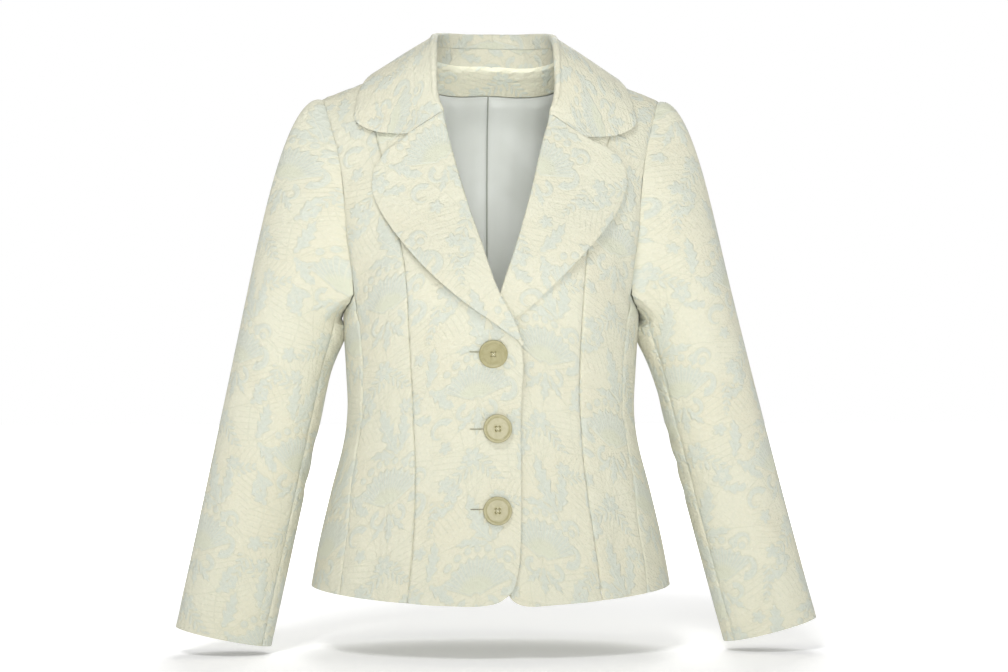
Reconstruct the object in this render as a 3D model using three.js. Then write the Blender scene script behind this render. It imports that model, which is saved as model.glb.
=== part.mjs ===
// A fitted single-breasted blazer, filled out as if worn, hanging with its front towards -Y.
// Millimetres, +Z up. X = 0 is the middle of the body and +X is the wearer's left.
// The origin is on the middle line of the body, 4 mm above the neck ends of the shoulder seams.
import * as THREE from 'three';

// Cloth and seams
const WALL = 1.6;
const FOLDED_WALL = 1.8;
const SEAM = 0.3;

// Body form: how square a level section is, and the height over which the shoulder rolls over
const SQUARENESS = 2.3;
const SHOULDER_ROLL = 90;
const RIDGE_TOP = 25.4;
const RIDGE_SLOPE = 0.39;
const RIDGE_ROUND = 30;
const BUST = { depth: 8, x: 85, z: -255, wide: 50, high: 60 };

// Level sections of the body. Columns: height, half width, depth in front, depth behind
const SECTIONS = [
  { z: -605, half: 202, front: 117, back: 121 },
  { z: -540, half: 190.5, front: 112, back: 115 },
  { z: -480, half: 176.5, front: 105, back: 103 },
  { z: -430, half: 163.5, front: 99, back: 88 },
  { z: -393, half: 159, front: 97, back: 80 },
  { z: -350, half: 160.5, front: 105, back: 85 },
  { z: -300, half: 163.5, front: 117, back: 96 },
  { z: -265, half: 165.5, front: 118, back: 102 },
  { z: -200, half: 178, front: 103, back: 108 },
  { z: -140, half: 190, front: 82, back: 108 },
  { z: -80, half: 200, front: 58, back: 98 },
  { z: -20, half: 205, front: 42, back: 80 },
  { z: 20, half: 206, front: 38, back: 74 },
];

// Hem height at the side, and how much lower it lies in the middle of the front and of the back
const HEM = { side: -585.5, frontDip: 11.5, backDip: 4 };

// Seams, as distances from the middle of the body. Columns: height, half distance
const FRONT_PRINCESS = [
  { z: -595, x: 105 }, { z: -545, x: 99 }, { z: -500, x: 94.5 }, { z: -455, x: 91.5 },
  { z: -408, x: 91 }, { z: -375, x: 90.5 }, { z: -320, x: 92 }, { z: -270, x: 94.5 },
  { z: -226, x: 99 }, { z: -119, x: 121 }, { z: -92, x: 127.5 },
];
const BACK_PRINCESS = [
  { z: -589, x: 108 }, { z: -540, x: 99 }, { z: -480, x: 86 }, { z: -393, x: 72 },
  { z: -300, x: 84 }, { z: -200, x: 99 }, { z: -100, x: 119 },
];
const SIDE_SEAM = [
  { z: -588, x: 167 }, { z: -551, x: 162.5 }, { z: -515, x: 157.5 }, { z: -441, x: 150 },
  { z: -380, x: 143 }, { z: -342, x: 142 }, { z: -300, x: 147 },
];
const PRINCESS_SHOULDER = 137;
const SHOULDER_END = 188;
// Both front princess seams lean to +X towards the hem, because the fronts lap
const SEAM_LEAN = { below: -300, atHem: 10.6 };

// Armhole. Columns: turn in degrees from the middle of the front, height
const ARMHOLE_CORNER = { turn: 69, z: -266 };
const ARMHOLE_FRONT = [
  { turn: 68.3, z: -250 }, { turn: 66, z: -215 }, { turn: 62.1, z: -175 },
  { turn: 60.2, z: -140 }, { turn: 60.3, z: -108 }, { turn: 63, z: -76 },
];
const ARMHOLE_BACK = [
  { turn: 76, z: -277 }, { turn: 90, z: -283 }, { turn: 104, z: -278 }, { turn: 113.8, z: -260 },
  { turn: 117.6, z: -225 }, { turn: 117.9, z: -180 }, { turn: 117.1, z: -140 },
  { turn: 115.5, z: -105 }, { turn: 113.6, z: -76 },
];

// Neck opening behind, and how far the collar sits to +X of the body's middle
const NECK_SHIFT = 3.5;
const NECK_HALF = 70;
const NECK_BACK_DROP = 63.8;

// Front edges, hem corners, roll lines and lapel outlines of each side. Columns: x, z
const FRONTS = {
  right: {
    side: -1,
    hem: [[-59, -596.5], [-17.5, -597], [0.4, -594], [8.9, -589], [14, -585]],
    edge: [[14, -585], [18.5, -579], [23.9, -558], [26.3, -527], [27, -485], [27, -440], [27.2, -380],
      [28.5, -342], [26.4, -319.5]],
    roll: [[26.4, -319.5], [16.5, -294], [-2.5, -260], [-19.9, -207], [-31, -173.5], [-45.5, -123]],
    lapel: [[29, -315], [16.6, -309], [-2.6, -296], [-39.4, -271.5], [-76, -238], [-114, -188],
      [-125, -168], [-129.7, -149], [-127, -130], [-121.7, -121.4], [-114, -110.5], [-101.3, -103]],
    lapelLift: [0.2, 6, 7.5, 3, 1],
  },
  left: {
    side: 1,
    hem: [[67, -596.3], [36, -597.7], [25, -595.5], [17, -590.5], [13, -583]],
    edge: [[13, -583], [5, -571], [-8, -542], [-21, -505], [-26.5, -465], [-27, -430], [-26.5, -380],
      [-22, -345], [-13, -322]],
    roll: [[-13, -322], [-3.5, -295], [7.1, -265.6], [27.1, -206.8], [40.9, -161], [54, -110]],
    lapel: [[-8, -318], [0, -307], [16.5, -294], [35.6, -280.4], [77, -241], [117, -195.5],
      [131.6, -175], [141.2, -151.7], [142.8, -131.8], [135.3, -117.5], [121, -106], [109.5, -101.5]],
    lapelLift: [0, 0.5, 6.5, 3.5, 1],
  },
};

// How far the wearer's right front stands out where it laps over, and more where the left lapel passes
const LAP = { rise: 2.5, from: -80, to: -32, top: -150, full: -255 };
const CROSSING = { rise: 3.2, from: -60, to: -14, z: -295, flat: 42, fade: 72 };
// Lapels: gap over the front, distance of the inner edge from the opening's edge, depth before the fold
const LAPEL = { gap: 0.8, seat: 0.54, rise: 0.2 };

// Collar stations from the gorge to the middle of the back, right for the left half and mirrored.
// Columns: neck seam x and drop, fold x, y and z, outer edge x and drop with its lift
const COLLAR = [
  { at: 0, neckX: 61, neckDrop: 122, foldX: 61, foldY: -60, foldZ: -74,
    edgeX: 95.5, edgeDrop: 132, lift: 2.6 },
  { at: 1, neckX: 66, neckDrop: 90, foldX: 64, foldY: -47, foldZ: -39,
    edgeX: 109, edgeDrop: 127, lift: 3.4 },
  { at: 2, neckX: 68.5, neckDrop: 60, foldX: 64, foldY: -36, foldZ: -10,
    edgeX: 131, edgeDrop: 116, lift: 4.5 },
  { at: 3, neckX: 69.5, neckDrop: 30, foldX: 63.5, foldY: -20, foldZ: 10,
    edgeX: 151, edgeDrop: 95, lift: 5.5 },
  { at: 4, neckX: 70, neckDrop: 0, foldX: 62.5, foldY: -3, foldZ: 19.5,
    edgeX: 150, edgeDrop: 68, lift: 5.5 },
  { at: 5, neckX: 66, neckDrop: -22, foldX: 60, foldY: 14, foldZ: 25.5,
    edgeX: 141, edgeDrop: 26, lift: 5 },
  { at: 6, neckX: 50, neckDrop: -44, foldX: 47, foldY: 36, foldZ: 29.5,
    edgeX: 122, edgeDrop: -28, lift: 4.5 },
  { at: 7, neckX: 27, neckDrop: -58, foldX: 26, foldY: 53, foldZ: 31.5,
    edgeX: 70, edgeDrop: -74, lift: 4.5 },
  { at: 8, neckX: 0, neckDrop: -63.8, foldX: 0, foldY: 59, foldZ: 32.5,
    edgeX: 0, edgeDrop: -88, lift: 4.5 },
];
const COLLAR_BACK = 8;
const STAND = { share: 0.62, start: 0.15, full: 0.62, from: 0.85, seat: 1.0 };
const FOLD_RADIUS = { atBreak: 1.25, atGorge: 2.6, atBack: 3.6 };
const FOLD_ANGLES = [36, 72, 108, 144, 180];
// How soon the fall of a folded piece comes down to its lift over the body
const FALL_EASE = 0.7;

// Sleeves: centre, half width and half depth at the upper arm, then the cuff of each side
const UPPER_ARM = { x: 219, y: 0, z: -288, half: 54.5, deep: 50 };
const CUFF = { half: 53, deep: 32, y: -30 };
const CUFFS = { right: { side: -1, x: 293, z: -638 }, left: { side: 1, x: 307, z: -634 } };
const SLEEVE_CENTRE = { y: 3, z: -165, wide: 56, high: 114 };
// Cap of the sleeve: how much it heads down under the arm and out, and the reach of its curve's ends
const CAP = { fall: 0.8, stand: 0.5, start: 0.16, end: 0.38 };
const FRONT_SLEEVE_SEAM = -148;
const BACK_SLEEVE_SEAM = 122;

// Inside of the back: the facing starts at a share of the way from the shoulder seam to the middle.
// The lining lies inside the back princess seams, below the facing and above the hem
const FACING = { depth: 33, wall: 1.4, gap: 1.2, from: 0.05, rows: 3 };
const LINING = { wall: 1.2, gap: 2.3, below: 1.4, aboveHem: 18, from: 0.12, inside: 6, corner: 45, lean: 3 };

// Buttons. Columns: x, z, and how much further out it is seated where the front is hollow
const BUTTON = { radius: 15.3, thick: 3.8, rim: 3, slope: 0.6, dish: 0.9, round: 1.2, sides: 24 };
const BUTTONS = [{ x: -3, z: -328, seat: 0 }, { x: 2.5, z: -410, seat: 0.8 }, { x: 2, z: -497, seat: 0 }];

// Number of cells along and across the pieces
const ROWS = { side: 17, armFront: 9, armBack: 16, backPrincess: 14, edge: 10, lapel: 18, collar: 32 };
const COLUMNS = { sideFront: 5, fall: 6, shoulder: 3, neck: 5, lining: 5, facing: 14 };
const RINGS = { cap: 5, arm: 5 };
const ROW_CROWDING = 1.35;

const DEGREE = Math.PI / 180;
// Millimetres that one radian of turn counts for along a curve laid through places
const TURN_REACH = 150;
// Steps for the slopes of a chart, and for finding the place of a point
const CHART_STEP = { turn: 0.002, length: 0.2 };
const SECTION_ROUNDS = 8;
const SEARCH = { rounds: 12, step: 0.3, most: 15 };
// Height added to a point of the body for a direction that surely leads outward
const OUTWARD_RISE = 120;

const mix = (a, b, t) => a + (b - a) * t;
const step = (from, to, value) => THREE.MathUtils.smoothstep((value - from) / (to - from), 0, 1);
const vector = (x, y, z) => new THREE.Vector3(x, y, z);

// Smooth value of every column of a table at one place of its key column, which rises
function rowAt(table, key, place) {
  const last = table.length - 1;
  const at = THREE.MathUtils.clamp(place, table[0][key], table[last][key]);
  let i = 0;
  while (i < last - 1 && at > table[i + 1][key]) i += 1;
  const span = table[i + 1][key] - table[i][key];
  const t = (at - table[i][key]) / span;
  const row = {};
  for (const name of Object.keys(table[0])) {
    const slope = (k) => {
      const a = Math.max(0, k - 1);
      const b = Math.min(last, k + 1);
      return (table[b][name] - table[a][name]) / (table[b][key] - table[a][key]);
    };
    const u = t * t * (3 - 2 * t);
    const bend = t * (1 - t) * span;
    row[name] = mix(table[i][name], table[i + 1][name], u)
      + bend * ((1 - t) * slope(i) - t * slope(i + 1));
  }
  return row;
}

// Height of the shoulder line above a place, and the drop from it measured along the rolled surface
const ridge = (x) => RIDGE_TOP - RIDGE_SLOPE * Math.hypot(x, RIDGE_ROUND);
const rollLength = SHOULDER_ROLL * Math.PI / 2;
const depthOfDrop = (drop) => (Math.abs(drop) < rollLength
  ? SHOULDER_ROLL * (1 - Math.cos(drop / SHOULDER_ROLL))
  : SHOULDER_ROLL + Math.abs(drop) - rollLength);
const dropOfDepth = (depth) => (depth < SHOULDER_ROLL
  ? SHOULDER_ROLL * Math.acos(Math.min(1, 1 - depth / SHOULDER_ROLL))
  : rollLength + depth - SHOULDER_ROLL);
const dropAt = (x, z) => dropOfDepth(Math.max(0, ridge(x) - z));

// Point of the body surface at a signed share of the half width and a drop
function bodyPoint(share, drop, back) {
  let x = 0;
  let z = 0;
  let section = rowAt(SECTIONS, 'z', ridge(0) - depthOfDrop(drop));
  for (let i = 0; i < SECTION_ROUNDS; i += 1) {
    x = share * section.half;
    z = ridge(x) - depthOfDrop(drop);
    section = rowAt(SECTIONS, 'z', z);
  }
  const across = Math.max(0, 1 - Math.abs(share) ** SQUARENESS) ** (1 / SQUARENESS);
  const roll = Math.abs(drop) < rollLength ? Math.sin(drop / SHOULDER_ROLL) : 1;
  const bustX = (Math.abs(x) - BUST.x) / BUST.wide;
  const bustZ = (z - BUST.z) / BUST.high;
  const bust = BUST.depth * Math.exp(-bustX * bustX - bustZ * bustZ);
  const y = back ? section.back * across * roll : -(section.front * across + bust) * roll;
  return vector(x, y, z);
}

// Chart by turn about the body (0 in front, pi behind) and drop below the shoulder line
function byTurn(turn, drop) {
  return bodyPoint(Math.sin(turn), drop, Math.cos(turn) < 0);
}

// Chart by x and signed drop, positive in front and negative behind
function byDrop(x, drop) {
  const half = rowAt(SECTIONS, 'z', ridge(x) - depthOfDrop(drop)).half;
  return bodyPoint(x / half, Math.abs(drop), drop < 0);
}

function normalOf(chart, a, b, stepA, stepB) {
  const alongA = chart(a + stepA, b).sub(chart(a - stepA, b));
  const alongB = chart(a, b + stepB).sub(chart(a, b - stepB));
  const normal = alongA.cross(alongB).normalize();
  const point = chart(a, b);
  const outward = vector(point.x, point.y, OUTWARD_RISE);
  return normal.dot(outward) < 0 ? normal.negate() : normal;
}

const turnNormal = (turn, drop) => normalOf(byTurn, turn, drop, CHART_STEP.turn, CHART_STEP.length);
const dropNormal = (x, drop) => normalOf(byDrop, x, drop, CHART_STEP.length, CHART_STEP.length);
const turnPoint = (turn, drop, lift) => byTurn(turn, drop).addScaledVector(turnNormal(turn, drop), lift);
const dropPoint = (x, drop, lift) => byDrop(x, drop).addScaledVector(dropNormal(x, drop), lift);

// Place in the turn chart of a point given by x and z
function turnAt(x, z, back = false, side = Math.sign(x) || 1) {
  const turn = Math.asin(Math.min(1, Math.abs(x) / rowAt(SECTIONS, 'z', z).half));
  return { turn: (back ? Math.PI - turn : turn) * (back ? side : Math.sign(x)), drop: dropAt(x, z) };
}

// The same for a point given by turn in degrees and z
function turnAtHeight(degrees, z) {
  const turn = degrees * DEGREE;
  const x = Math.sin(turn) * rowAt(SECTIONS, 'z', z).half;
  return { turn, drop: dropAt(x, z) };
}

// Place in the drop chart, with its lift, of any point near the body
function chartPlace(point, guess) {
  const place = [guess.x, guess.drop, guess.lift];
  for (let round = 0; round < SEARCH.rounds; round += 1) {
    const here = dropPoint(...place);
    const miss = point.clone().sub(here);
    const columns = [0, 1, 2].map((k) => {
      const moved = place.map((value, i) => (i === k ? value + SEARCH.step : value));
      return dropPoint(...moved).sub(here).divideScalar(SEARCH.step);
    });
    const whole = columns[0].dot(columns[1].clone().cross(columns[2]));
    const change = [0, 1, 2].map((k) => {
      const [p, q] = [columns[(k + 1) % 3], columns[(k + 2) % 3]];
      return miss.dot(p.clone().cross(q)) / whole;
    });
    change.forEach((value, i) => {
      place[i] += THREE.MathUtils.clamp(value, -SEARCH.most, SEARCH.most);
    });
  }
  return { x: place[0], drop: place[1], lift: place[2] };
}

// Smooth curve through places of the turn chart, and the place for a point of it
const curveThrough = (places) => new THREE.CatmullRomCurve3(
  places.map((p) => vector(p.turn * TURN_REACH, p.drop, 0)),
  false,
  'centripetal',
);
const placeOnCurve = (point) => ({ turn: point.x / TURN_REACH, drop: point.y });

// Places along such a curve, closer together at its end where crowding is above 1
function alongTurns(places, count, crowding = 1) {
  const curve = curveThrough(places);
  return Array.from({ length: count + 1 }, (_, i) => (
    placeOnCurve(curve.getPointAt(1 - (1 - i / count) ** crowding))
  ));
}

// Places that fill a patch between its four edges
function patch(bottom, top, left, right) {
  const blend = (name, i, j) => {
    const s = j / (bottom.length - 1);
    const t = i / (left.length - 1);
    const rising = mix(bottom[j][name], top[j][name], t);
    const crossing = mix(left[i][name], right[i][name], s);
    const low = mix(bottom[0][name], bottom[bottom.length - 1][name], s);
    const high = mix(top[0][name], top[top.length - 1][name], s);
    return rising + crossing - mix(low, high, t);
  };
  return left.map((_, i) => bottom.map((__, j) => (
    { turn: blend('turn', i, j), drop: blend('drop', i, j) }
  )));
}

// Draws the border places in by half a seam gap
function drawnIn(places) {
  const rows = places.length - 1;
  const columns = places[0].length - 1;
  const toward = (from, to) => {
    const length = byTurn(from.turn, from.drop).distanceTo(byTurn(to.turn, to.drop));
    const share = SEAM / 2 / length;
    return { turn: mix(from.turn, to.turn, share), drop: mix(from.drop, to.drop, share) };
  };
  const drawn = places.map((row) => row.map((place) => ({ ...place })));
  for (let j = 0; j <= columns; j += 1) {
    drawn[0][j] = toward(places[0][j], places[1][j]);
    drawn[rows][j] = toward(places[rows][j], places[rows - 1][j]);
  }
  for (let i = 0; i <= rows; i += 1) {
    drawn[i][0] = toward(drawn[i][0], drawn[i][1]);
    drawn[i][columns] = toward(drawn[i][columns], drawn[i][columns - 1]);
  }
  return drawn;
}

// Closed solid between two grids of points; each cell is split along its shorter diagonal
function slab(outer, inner) {
  const rows = outer.length;
  const columns = outer[0].length;
  const points = [...outer.flat(), ...inner.flat()];
  const far = rows * columns;
  const index = [];
  const quad = (a, b, c, d) => index.push(a, b, c, a, c, d);
  for (let i = 0; i + 1 < rows; i += 1) {
    for (let j = 0; j + 1 < columns; j += 1) {
      const k = i * columns + j;
      const [a, b, c, d] = [k, k + 1, k + columns + 1, k + columns];
      const straight = points[a].distanceTo(points[c]) <= points[b].distanceTo(points[d]);
      const [p, q, r, s] = straight ? [a, b, c, d] : [b, c, d, a];
      quad(p, q, r, s);
      quad(far + p, far + s, far + r, far + q);
    }
  }
  const rim = [];
  for (let j = 0; j < columns - 1; j += 1) rim.push(j);
  for (let i = 0; i < rows - 1; i += 1) rim.push(i * columns + columns - 1);
  for (let j = columns - 1; j > 0; j -= 1) rim.push((rows - 1) * columns + j);
  for (let i = rows - 1; i > 0; i -= 1) rim.push(i * columns);
  rim.forEach((a, n) => {
    const b = rim[(n + 1) % rim.length];
    quad(a, far + a, far + b, b);
  });
  let volume = 0;
  for (let n = 0; n < index.length; n += 3) {
    volume += points[index[n]].dot(points[index[n + 1]].clone().cross(points[index[n + 2]]));
  }
  if (volume < 0) index.reverse();
  const geometry = new THREE.BufferGeometry().setFromPoints(points);
  geometry.setIndex(index);
  geometry.computeVertexNormals();
  return geometry;
}

// Wall on the body between two lifts, which may vary with the place
function bodyWall(places, liftOf, wall) {
  const drawn = drawnIn(places);
  const at = (place, under) => {
    const point = byTurn(place.turn, place.drop);
    return turnPoint(place.turn, place.drop, liftOf(point) - under);
  };
  return slab(drawn.map((row) => row.map((p) => at(p, 0))), drawn.map((row) => row.map((p) => at(p, wall))));
}

// Normals of a grid of points, and the wall laid half to each side of it
function gridNormals(grid) {
  const rows = grid.length - 1;
  const columns = grid[0].length - 1;
  return grid.map((row, i) => row.map((_, j) => {
    const up = grid[Math.min(rows, i + 1)][j].clone().sub(grid[Math.max(0, i - 1)][j]);
    const over = grid[i][Math.min(columns, j + 1)].clone().sub(grid[i][Math.max(0, j - 1)]);
    return up.cross(over).normalize();
  }));
}

function thickened(grid, wall) {
  const normals = gridNormals(grid);
  const shifted = (by) => grid.map((row, i) => row.map((p, j) => (
    p.clone().addScaledVector(normals[i][j], by)
  )));
  return slab(shifted(wall / 2), shifted(-wall / 2));
}

// Materials
const cloth = new THREE.MeshStandardMaterial({ color: 0xe3e1cd, roughness: 0.72, metalness: 0 });
const facingCloth = new THREE.MeshStandardMaterial({ color: 0xdedbc6, roughness: 0.72, metalness: 0 });
const liningCloth = new THREE.MeshStandardMaterial({ color: 0xced1ca, roughness: 0.42, metalness: 0 });
const buttonResin = new THREE.MeshStandardMaterial({ color: 0xc6be9a, roughness: 0.38, metalness: 0 });

const garment = new THREE.Group();

function addPiece(name, geometry, material) {
  const piece = new THREE.Mesh(geometry, material);
  piece.name = name;
  garment.add(piece);
  return piece;
}

// Place on the back or the front at a given x and drop
const placeOf = (x, drop, back = false, side = Math.sign(x) || 1) => (
  { ...turnAt(x, ridge(x) - depthOfDrop(drop), back, side), drop }
);

// Place on the hem at a turn about the body
function hemAt(turn) {
  const level = Math.cos(turn) ** 2;
  const z = HEM.side - level * (Math.cos(turn) > 0 ? HEM.frontDip : HEM.backDip);
  const place = turnAtHeight(Math.abs(turn) / DEGREE, z);
  return { turn, drop: place.drop };
}

const hemBetween = (from, to, count) => (
  Array.from({ length: count + 1 }, (_, j) => hemAt(mix(from.turn, to.turn, j / count)))
);
const seamLean = (z) => SEAM_LEAN.atHem * step(SEAM_LEAN.below, HEM.side, z);

// How far out the outer face of each front lies from the body surface
const noLift = () => 0;
function lapLift(point) {
  const lap = step(LAP.from, LAP.to, point.x) * step(LAP.top, LAP.full, point.z);
  const level = Math.abs(point.z - CROSSING.z) - CROSSING.flat;
  const crossing = step(CROSSING.from, CROSSING.to, point.x) * (1 - step(0, CROSSING.fade, level));
  return LAP.rise * lap + CROSSING.rise * crossing;
}

// Seam lines of one side, each from the hem up
function seamsOf(side) {
  const mirrored = (places) => places.map((p) => ({ turn: p.turn * side, drop: p.drop }));
  const frontKeys = FRONT_PRINCESS.map(({ x, z }) => turnAt(side * x + seamLean(z), z));
  frontKeys[0] = hemAt(frontKeys[0].turn);
  frontKeys.push(placeOf(side * PRINCESS_SHOULDER, 0));
  const sideKeys = SIDE_SEAM.map(({ x, z }) => turnAt(x, z));
  sideKeys[0] = hemAt(sideKeys[0].turn);
  const corner = turnAtHeight(ARMHOLE_CORNER.turn, ARMHOLE_CORNER.z);
  sideKeys.push(corner);
  const frontArm = ARMHOLE_FRONT.map(({ turn, z }) => turnAtHeight(turn, z));
  const backArm = ARMHOLE_BACK.map(({ turn, z }) => turnAtHeight(turn, z));
  const frontTip = placeOf(SHOULDER_END, 0);
  const backTip = placeOf(SHOULDER_END, 0, true);
  const backKeys = BACK_PRINCESS.map(({ x, z }) => turnAt(x, z, true));
  backKeys[0] = hemAt(backKeys[0].turn);
  backKeys.push(placeOf(PRINCESS_SHOULDER, 0, true));
  return {
    frontPrincess: alongTurns(frontKeys, ROWS.side + ROWS.armFront),
    sideSeam: mirrored(alongTurns(sideKeys, ROWS.side)),
    armFront: mirrored(alongTurns([corner, ...frontArm, frontTip], ROWS.armFront)),
    armBack: mirrored(alongTurns([corner, ...backArm, backTip], ROWS.armBack)),
    backPrincess: mirrored(alongTurns(backKeys, ROWS.backPrincess, ROW_CROWDING)),
    mirrored,
  };
}

const shoulderPlaces = (fromX, toX, count, back) => Array.from({ length: count + 1 }, (_, j) => (
  placeOf(mix(fromX, toX, j / count), 0, back)
));

// Front edge from the hem corner to the break, and the opening's edge from the break to the neck
function openingOf(front) {
  const neck = COLLAR.slice(0, 5).map((row) => placeOf(NECK_SHIFT + front.side * row.neckX, row.neckDrop));
  const roll = front.roll.map(([x, z]) => turnAt(x, z));
  const keys = [...roll, ...neck];
  const curve = curveThrough(keys);
  const gorgeShare = roll.length / (keys.length - 1);
  return { keys, at: (share) => placeOnCurve(curve.getPoint(share)), gorgeShare };
}

function addFront(name, front, seams, liftOf) {
  const opening = openingOf(front);
  const edge = alongTurns(front.edge.map(([x, z]) => turnAt(x, z)), ROWS.edge);
  const rest = alongTurns(opening.keys, ROWS.side + ROWS.armFront - ROWS.edge);
  const right = [...edge.slice(0, -1), ...rest];
  const left = seams.frontPrincess;
  const columns = COLUMNS.shoulder + COLUMNS.neck;
  const hemKeys = [left[0], ...front.hem.map(([x, z]) => turnAt(x, z))];
  const bottom = alongTurns(hemKeys, columns);
  const neckX = NECK_SHIFT + front.side * NECK_HALF;
  const top = shoulderPlaces(front.side * PRINCESS_SHOULDER, neckX, columns, false);
  addPiece(name, bodyWall(patch(bottom, top, left, right), liftOf, WALL), cloth);
}

function addSideFront(name, side, seams) {
  const left = [...seams.sideSeam.slice(0, -1), ...seams.armFront];
  const right = seams.frontPrincess;
  const bottom = hemBetween(left[0], right[0], COLUMNS.sideFront);
  const top = shoulderPlaces(side * SHOULDER_END, side * PRINCESS_SHOULDER, COLUMNS.sideFront, false);
  addPiece(name, bodyWall(patch(bottom, top, left, right), noLift, WALL), cloth);
}

function addSideBack(name, seams) {
  const shoulder = seams.mirrored(shoulderPlaces(PRINCESS_SHOULDER, SHOULDER_END, COLUMNS.shoulder, true));
  const right = [...seams.backPrincess, ...shoulder.slice(1)];
  const bottom = hemBetween(seams.sideSeam[0], right[0], ROWS.armBack);
  addPiece(name, bodyWall(patch(bottom, seams.armBack, seams.sideSeam, right), noLift, WALL), cloth);
}

// Back neck seam from the shoulder seam (0) to the middle of the back (1)
function backNeckPlace(share, side, grow = 0) {
  const angle = share * Math.PI / 2;
  const middle = NECK_SHIFT * Math.cos(angle) * side;
  const x = (NECK_HALF + grow) * Math.cos(angle) + middle;
  return placeOf(x, (NECK_BACK_DROP + grow) * Math.sin(angle), true, 1);
}

function addBack(name, side, seams) {
  const left = seams.backPrincess;
  const neckX = NECK_HALF + side * NECK_SHIFT;
  const shoulder = shoulderPlaces(PRINCESS_SHOULDER, neckX, COLUMNS.shoulder, true);
  const neck = Array.from({ length: COLUMNS.neck }, (_, j) => backNeckPlace((j + 1) / COLUMNS.neck, side));
  const top = seams.mirrored([...shoulder, ...neck]);
  const middleTurn = side * Math.PI;
  const foot = hemAt(middleTurn);
  const right = left.map((_, i) => (
    { turn: middleTurn, drop: mix(NECK_BACK_DROP, foot.drop, (1 - i / (left.length - 1)) ** ROW_CROWDING) }
  ));
  const bottom = hemBetween(left[0], right[0], top.length - 1);
  addPiece(name, bodyWall(patch(bottom, top, left, right), noLift, WALL), cloth);
}

// One row of a folded piece: up the inner side, round the fold, then down over the body
function foldedRow({ start, rise, up, out, radius, to, from }) {
  const points = [start, start.clone().addScaledVector(up, rise)];
  const centre = points[1].clone().addScaledVector(out, radius);
  for (const angle of FOLD_ANGLES) {
    const turned = centre.clone()
      .addScaledVector(out, -radius * Math.cos(angle * DEGREE))
      .addScaledVector(up, radius * Math.sin(angle * DEGREE));
    points.push(turned);
  }
  const first = from ?? chartPlace(points[points.length - 1], {
    x: centre.x,
    drop: Math.sign(-centre.y || 1) * Math.max(4, dropAt(centre.x, centre.z)),
    lift: 8,
  });
  for (let j = 1; j <= COLUMNS.fall; j += 1) {
    const share = j / COLUMNS.fall;
    const x = mix(first.x, to.x, share);
    const drop = mix(first.drop, to.drop, share);
    const lift = mix(first.lift, to.liftAt(share, x, drop), share ** FALL_EASE);
    points.push(dropPoint(x, drop, lift));
  }
  return points;
}

// Draws one row of a strip toward the next by half a seam gap
function drawnRow(grid, row, neighbour) {
  return grid.map((points, i) => (i !== row ? points : points.map((p, j) => {
    const away = grid[neighbour][j].clone().sub(p).normalize();
    return p.clone().addScaledVector(away, SEAM / 2);
  })));
}

// Draws the gorge row of a folded piece square to the gorge seam, by more where the walls tilt
function drawnGorge(grid, row, neighbour) {
  const middle = grid[row].length - Math.round(COLUMNS.fall / 2);
  const along = grid[row][middle + 1].clone().sub(grid[row][middle - 1]).normalize();
  const away = grid[neighbour][middle].clone().sub(grid[row][middle]);
  away.addScaledVector(along, -away.dot(along)).normalize();
  return grid.map((points, i) => (
    i !== row ? points : points.map((p) => p.clone().addScaledVector(away, SEAM))
  ));
}

// Frame on the opening's edge: body normal and the direction away from the front panel
function openingFrame(place, next, side) {
  const normal = turnNormal(place.turn, place.drop);
  const point = byTurn(place.turn, place.drop);
  const tangent = byTurn(next.turn, next.drop).sub(point).normalize();
  const away = tangent.clone().cross(normal).normalize();
  if (away.x * side > 0) away.negate();
  return { normal, point, away };
}

function addLapel(name, front, liftOf) {
  const opening = openingOf(front);
  const end = COLLAR[0];
  const outlineKeys = front.lapel.map(([x, z]) => turnAt(x, z));
  outlineKeys.push(placeOf(NECK_SHIFT + front.side * end.edgeX, end.edgeDrop));
  const outline = alongTurns(outlineKeys, ROWS.lapel);
  const liftRows = front.lapelLift.map((lift, at) => ({ at, lift }));
  const grid = outline.map((edge, k) => {
    const share = k / ROWS.lapel;
    const place = opening.at(share * opening.gorgeShare);
    const next = opening.at(share * opening.gorgeShare + 0.01);
    const { normal, point, away } = openingFrame(place, next, front.side);
    const radius = mix(FOLD_RADIUS.atBreak, FOLD_RADIUS.atGorge, share * share);
    const lap = liftOf(point);
    const start = point.clone().addScaledVector(normal, lap - WALL / 2).addScaledVector(away, LAPEL.seat);
    const edgePoint = byTurn(edge.turn, edge.drop);
    const edgeLift = rowAt(liftRows, 'at', share * (liftRows.length - 1)).lift;
    return foldedRow({
      start,
      rise: LAPEL.rise,
      up: away,
      out: normal,
      radius,
      from: { x: point.x, drop: place.drop, lift: lap + 2 * radius - WALL / 2 },
      to: {
        x: edgePoint.x,
        drop: edge.drop,
        liftAt: (part, x, drop) => (
          liftOf(byDrop(x, drop)) + LAPEL.gap + FOLDED_WALL / 2 + edgeLift * part
        ),
      },
    });
  });
  const drawn = drawnGorge(grid, ROWS.lapel, ROWS.lapel - 1);
  addPiece(name, thickened(drawn, FOLDED_WALL), cloth);
}

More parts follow.
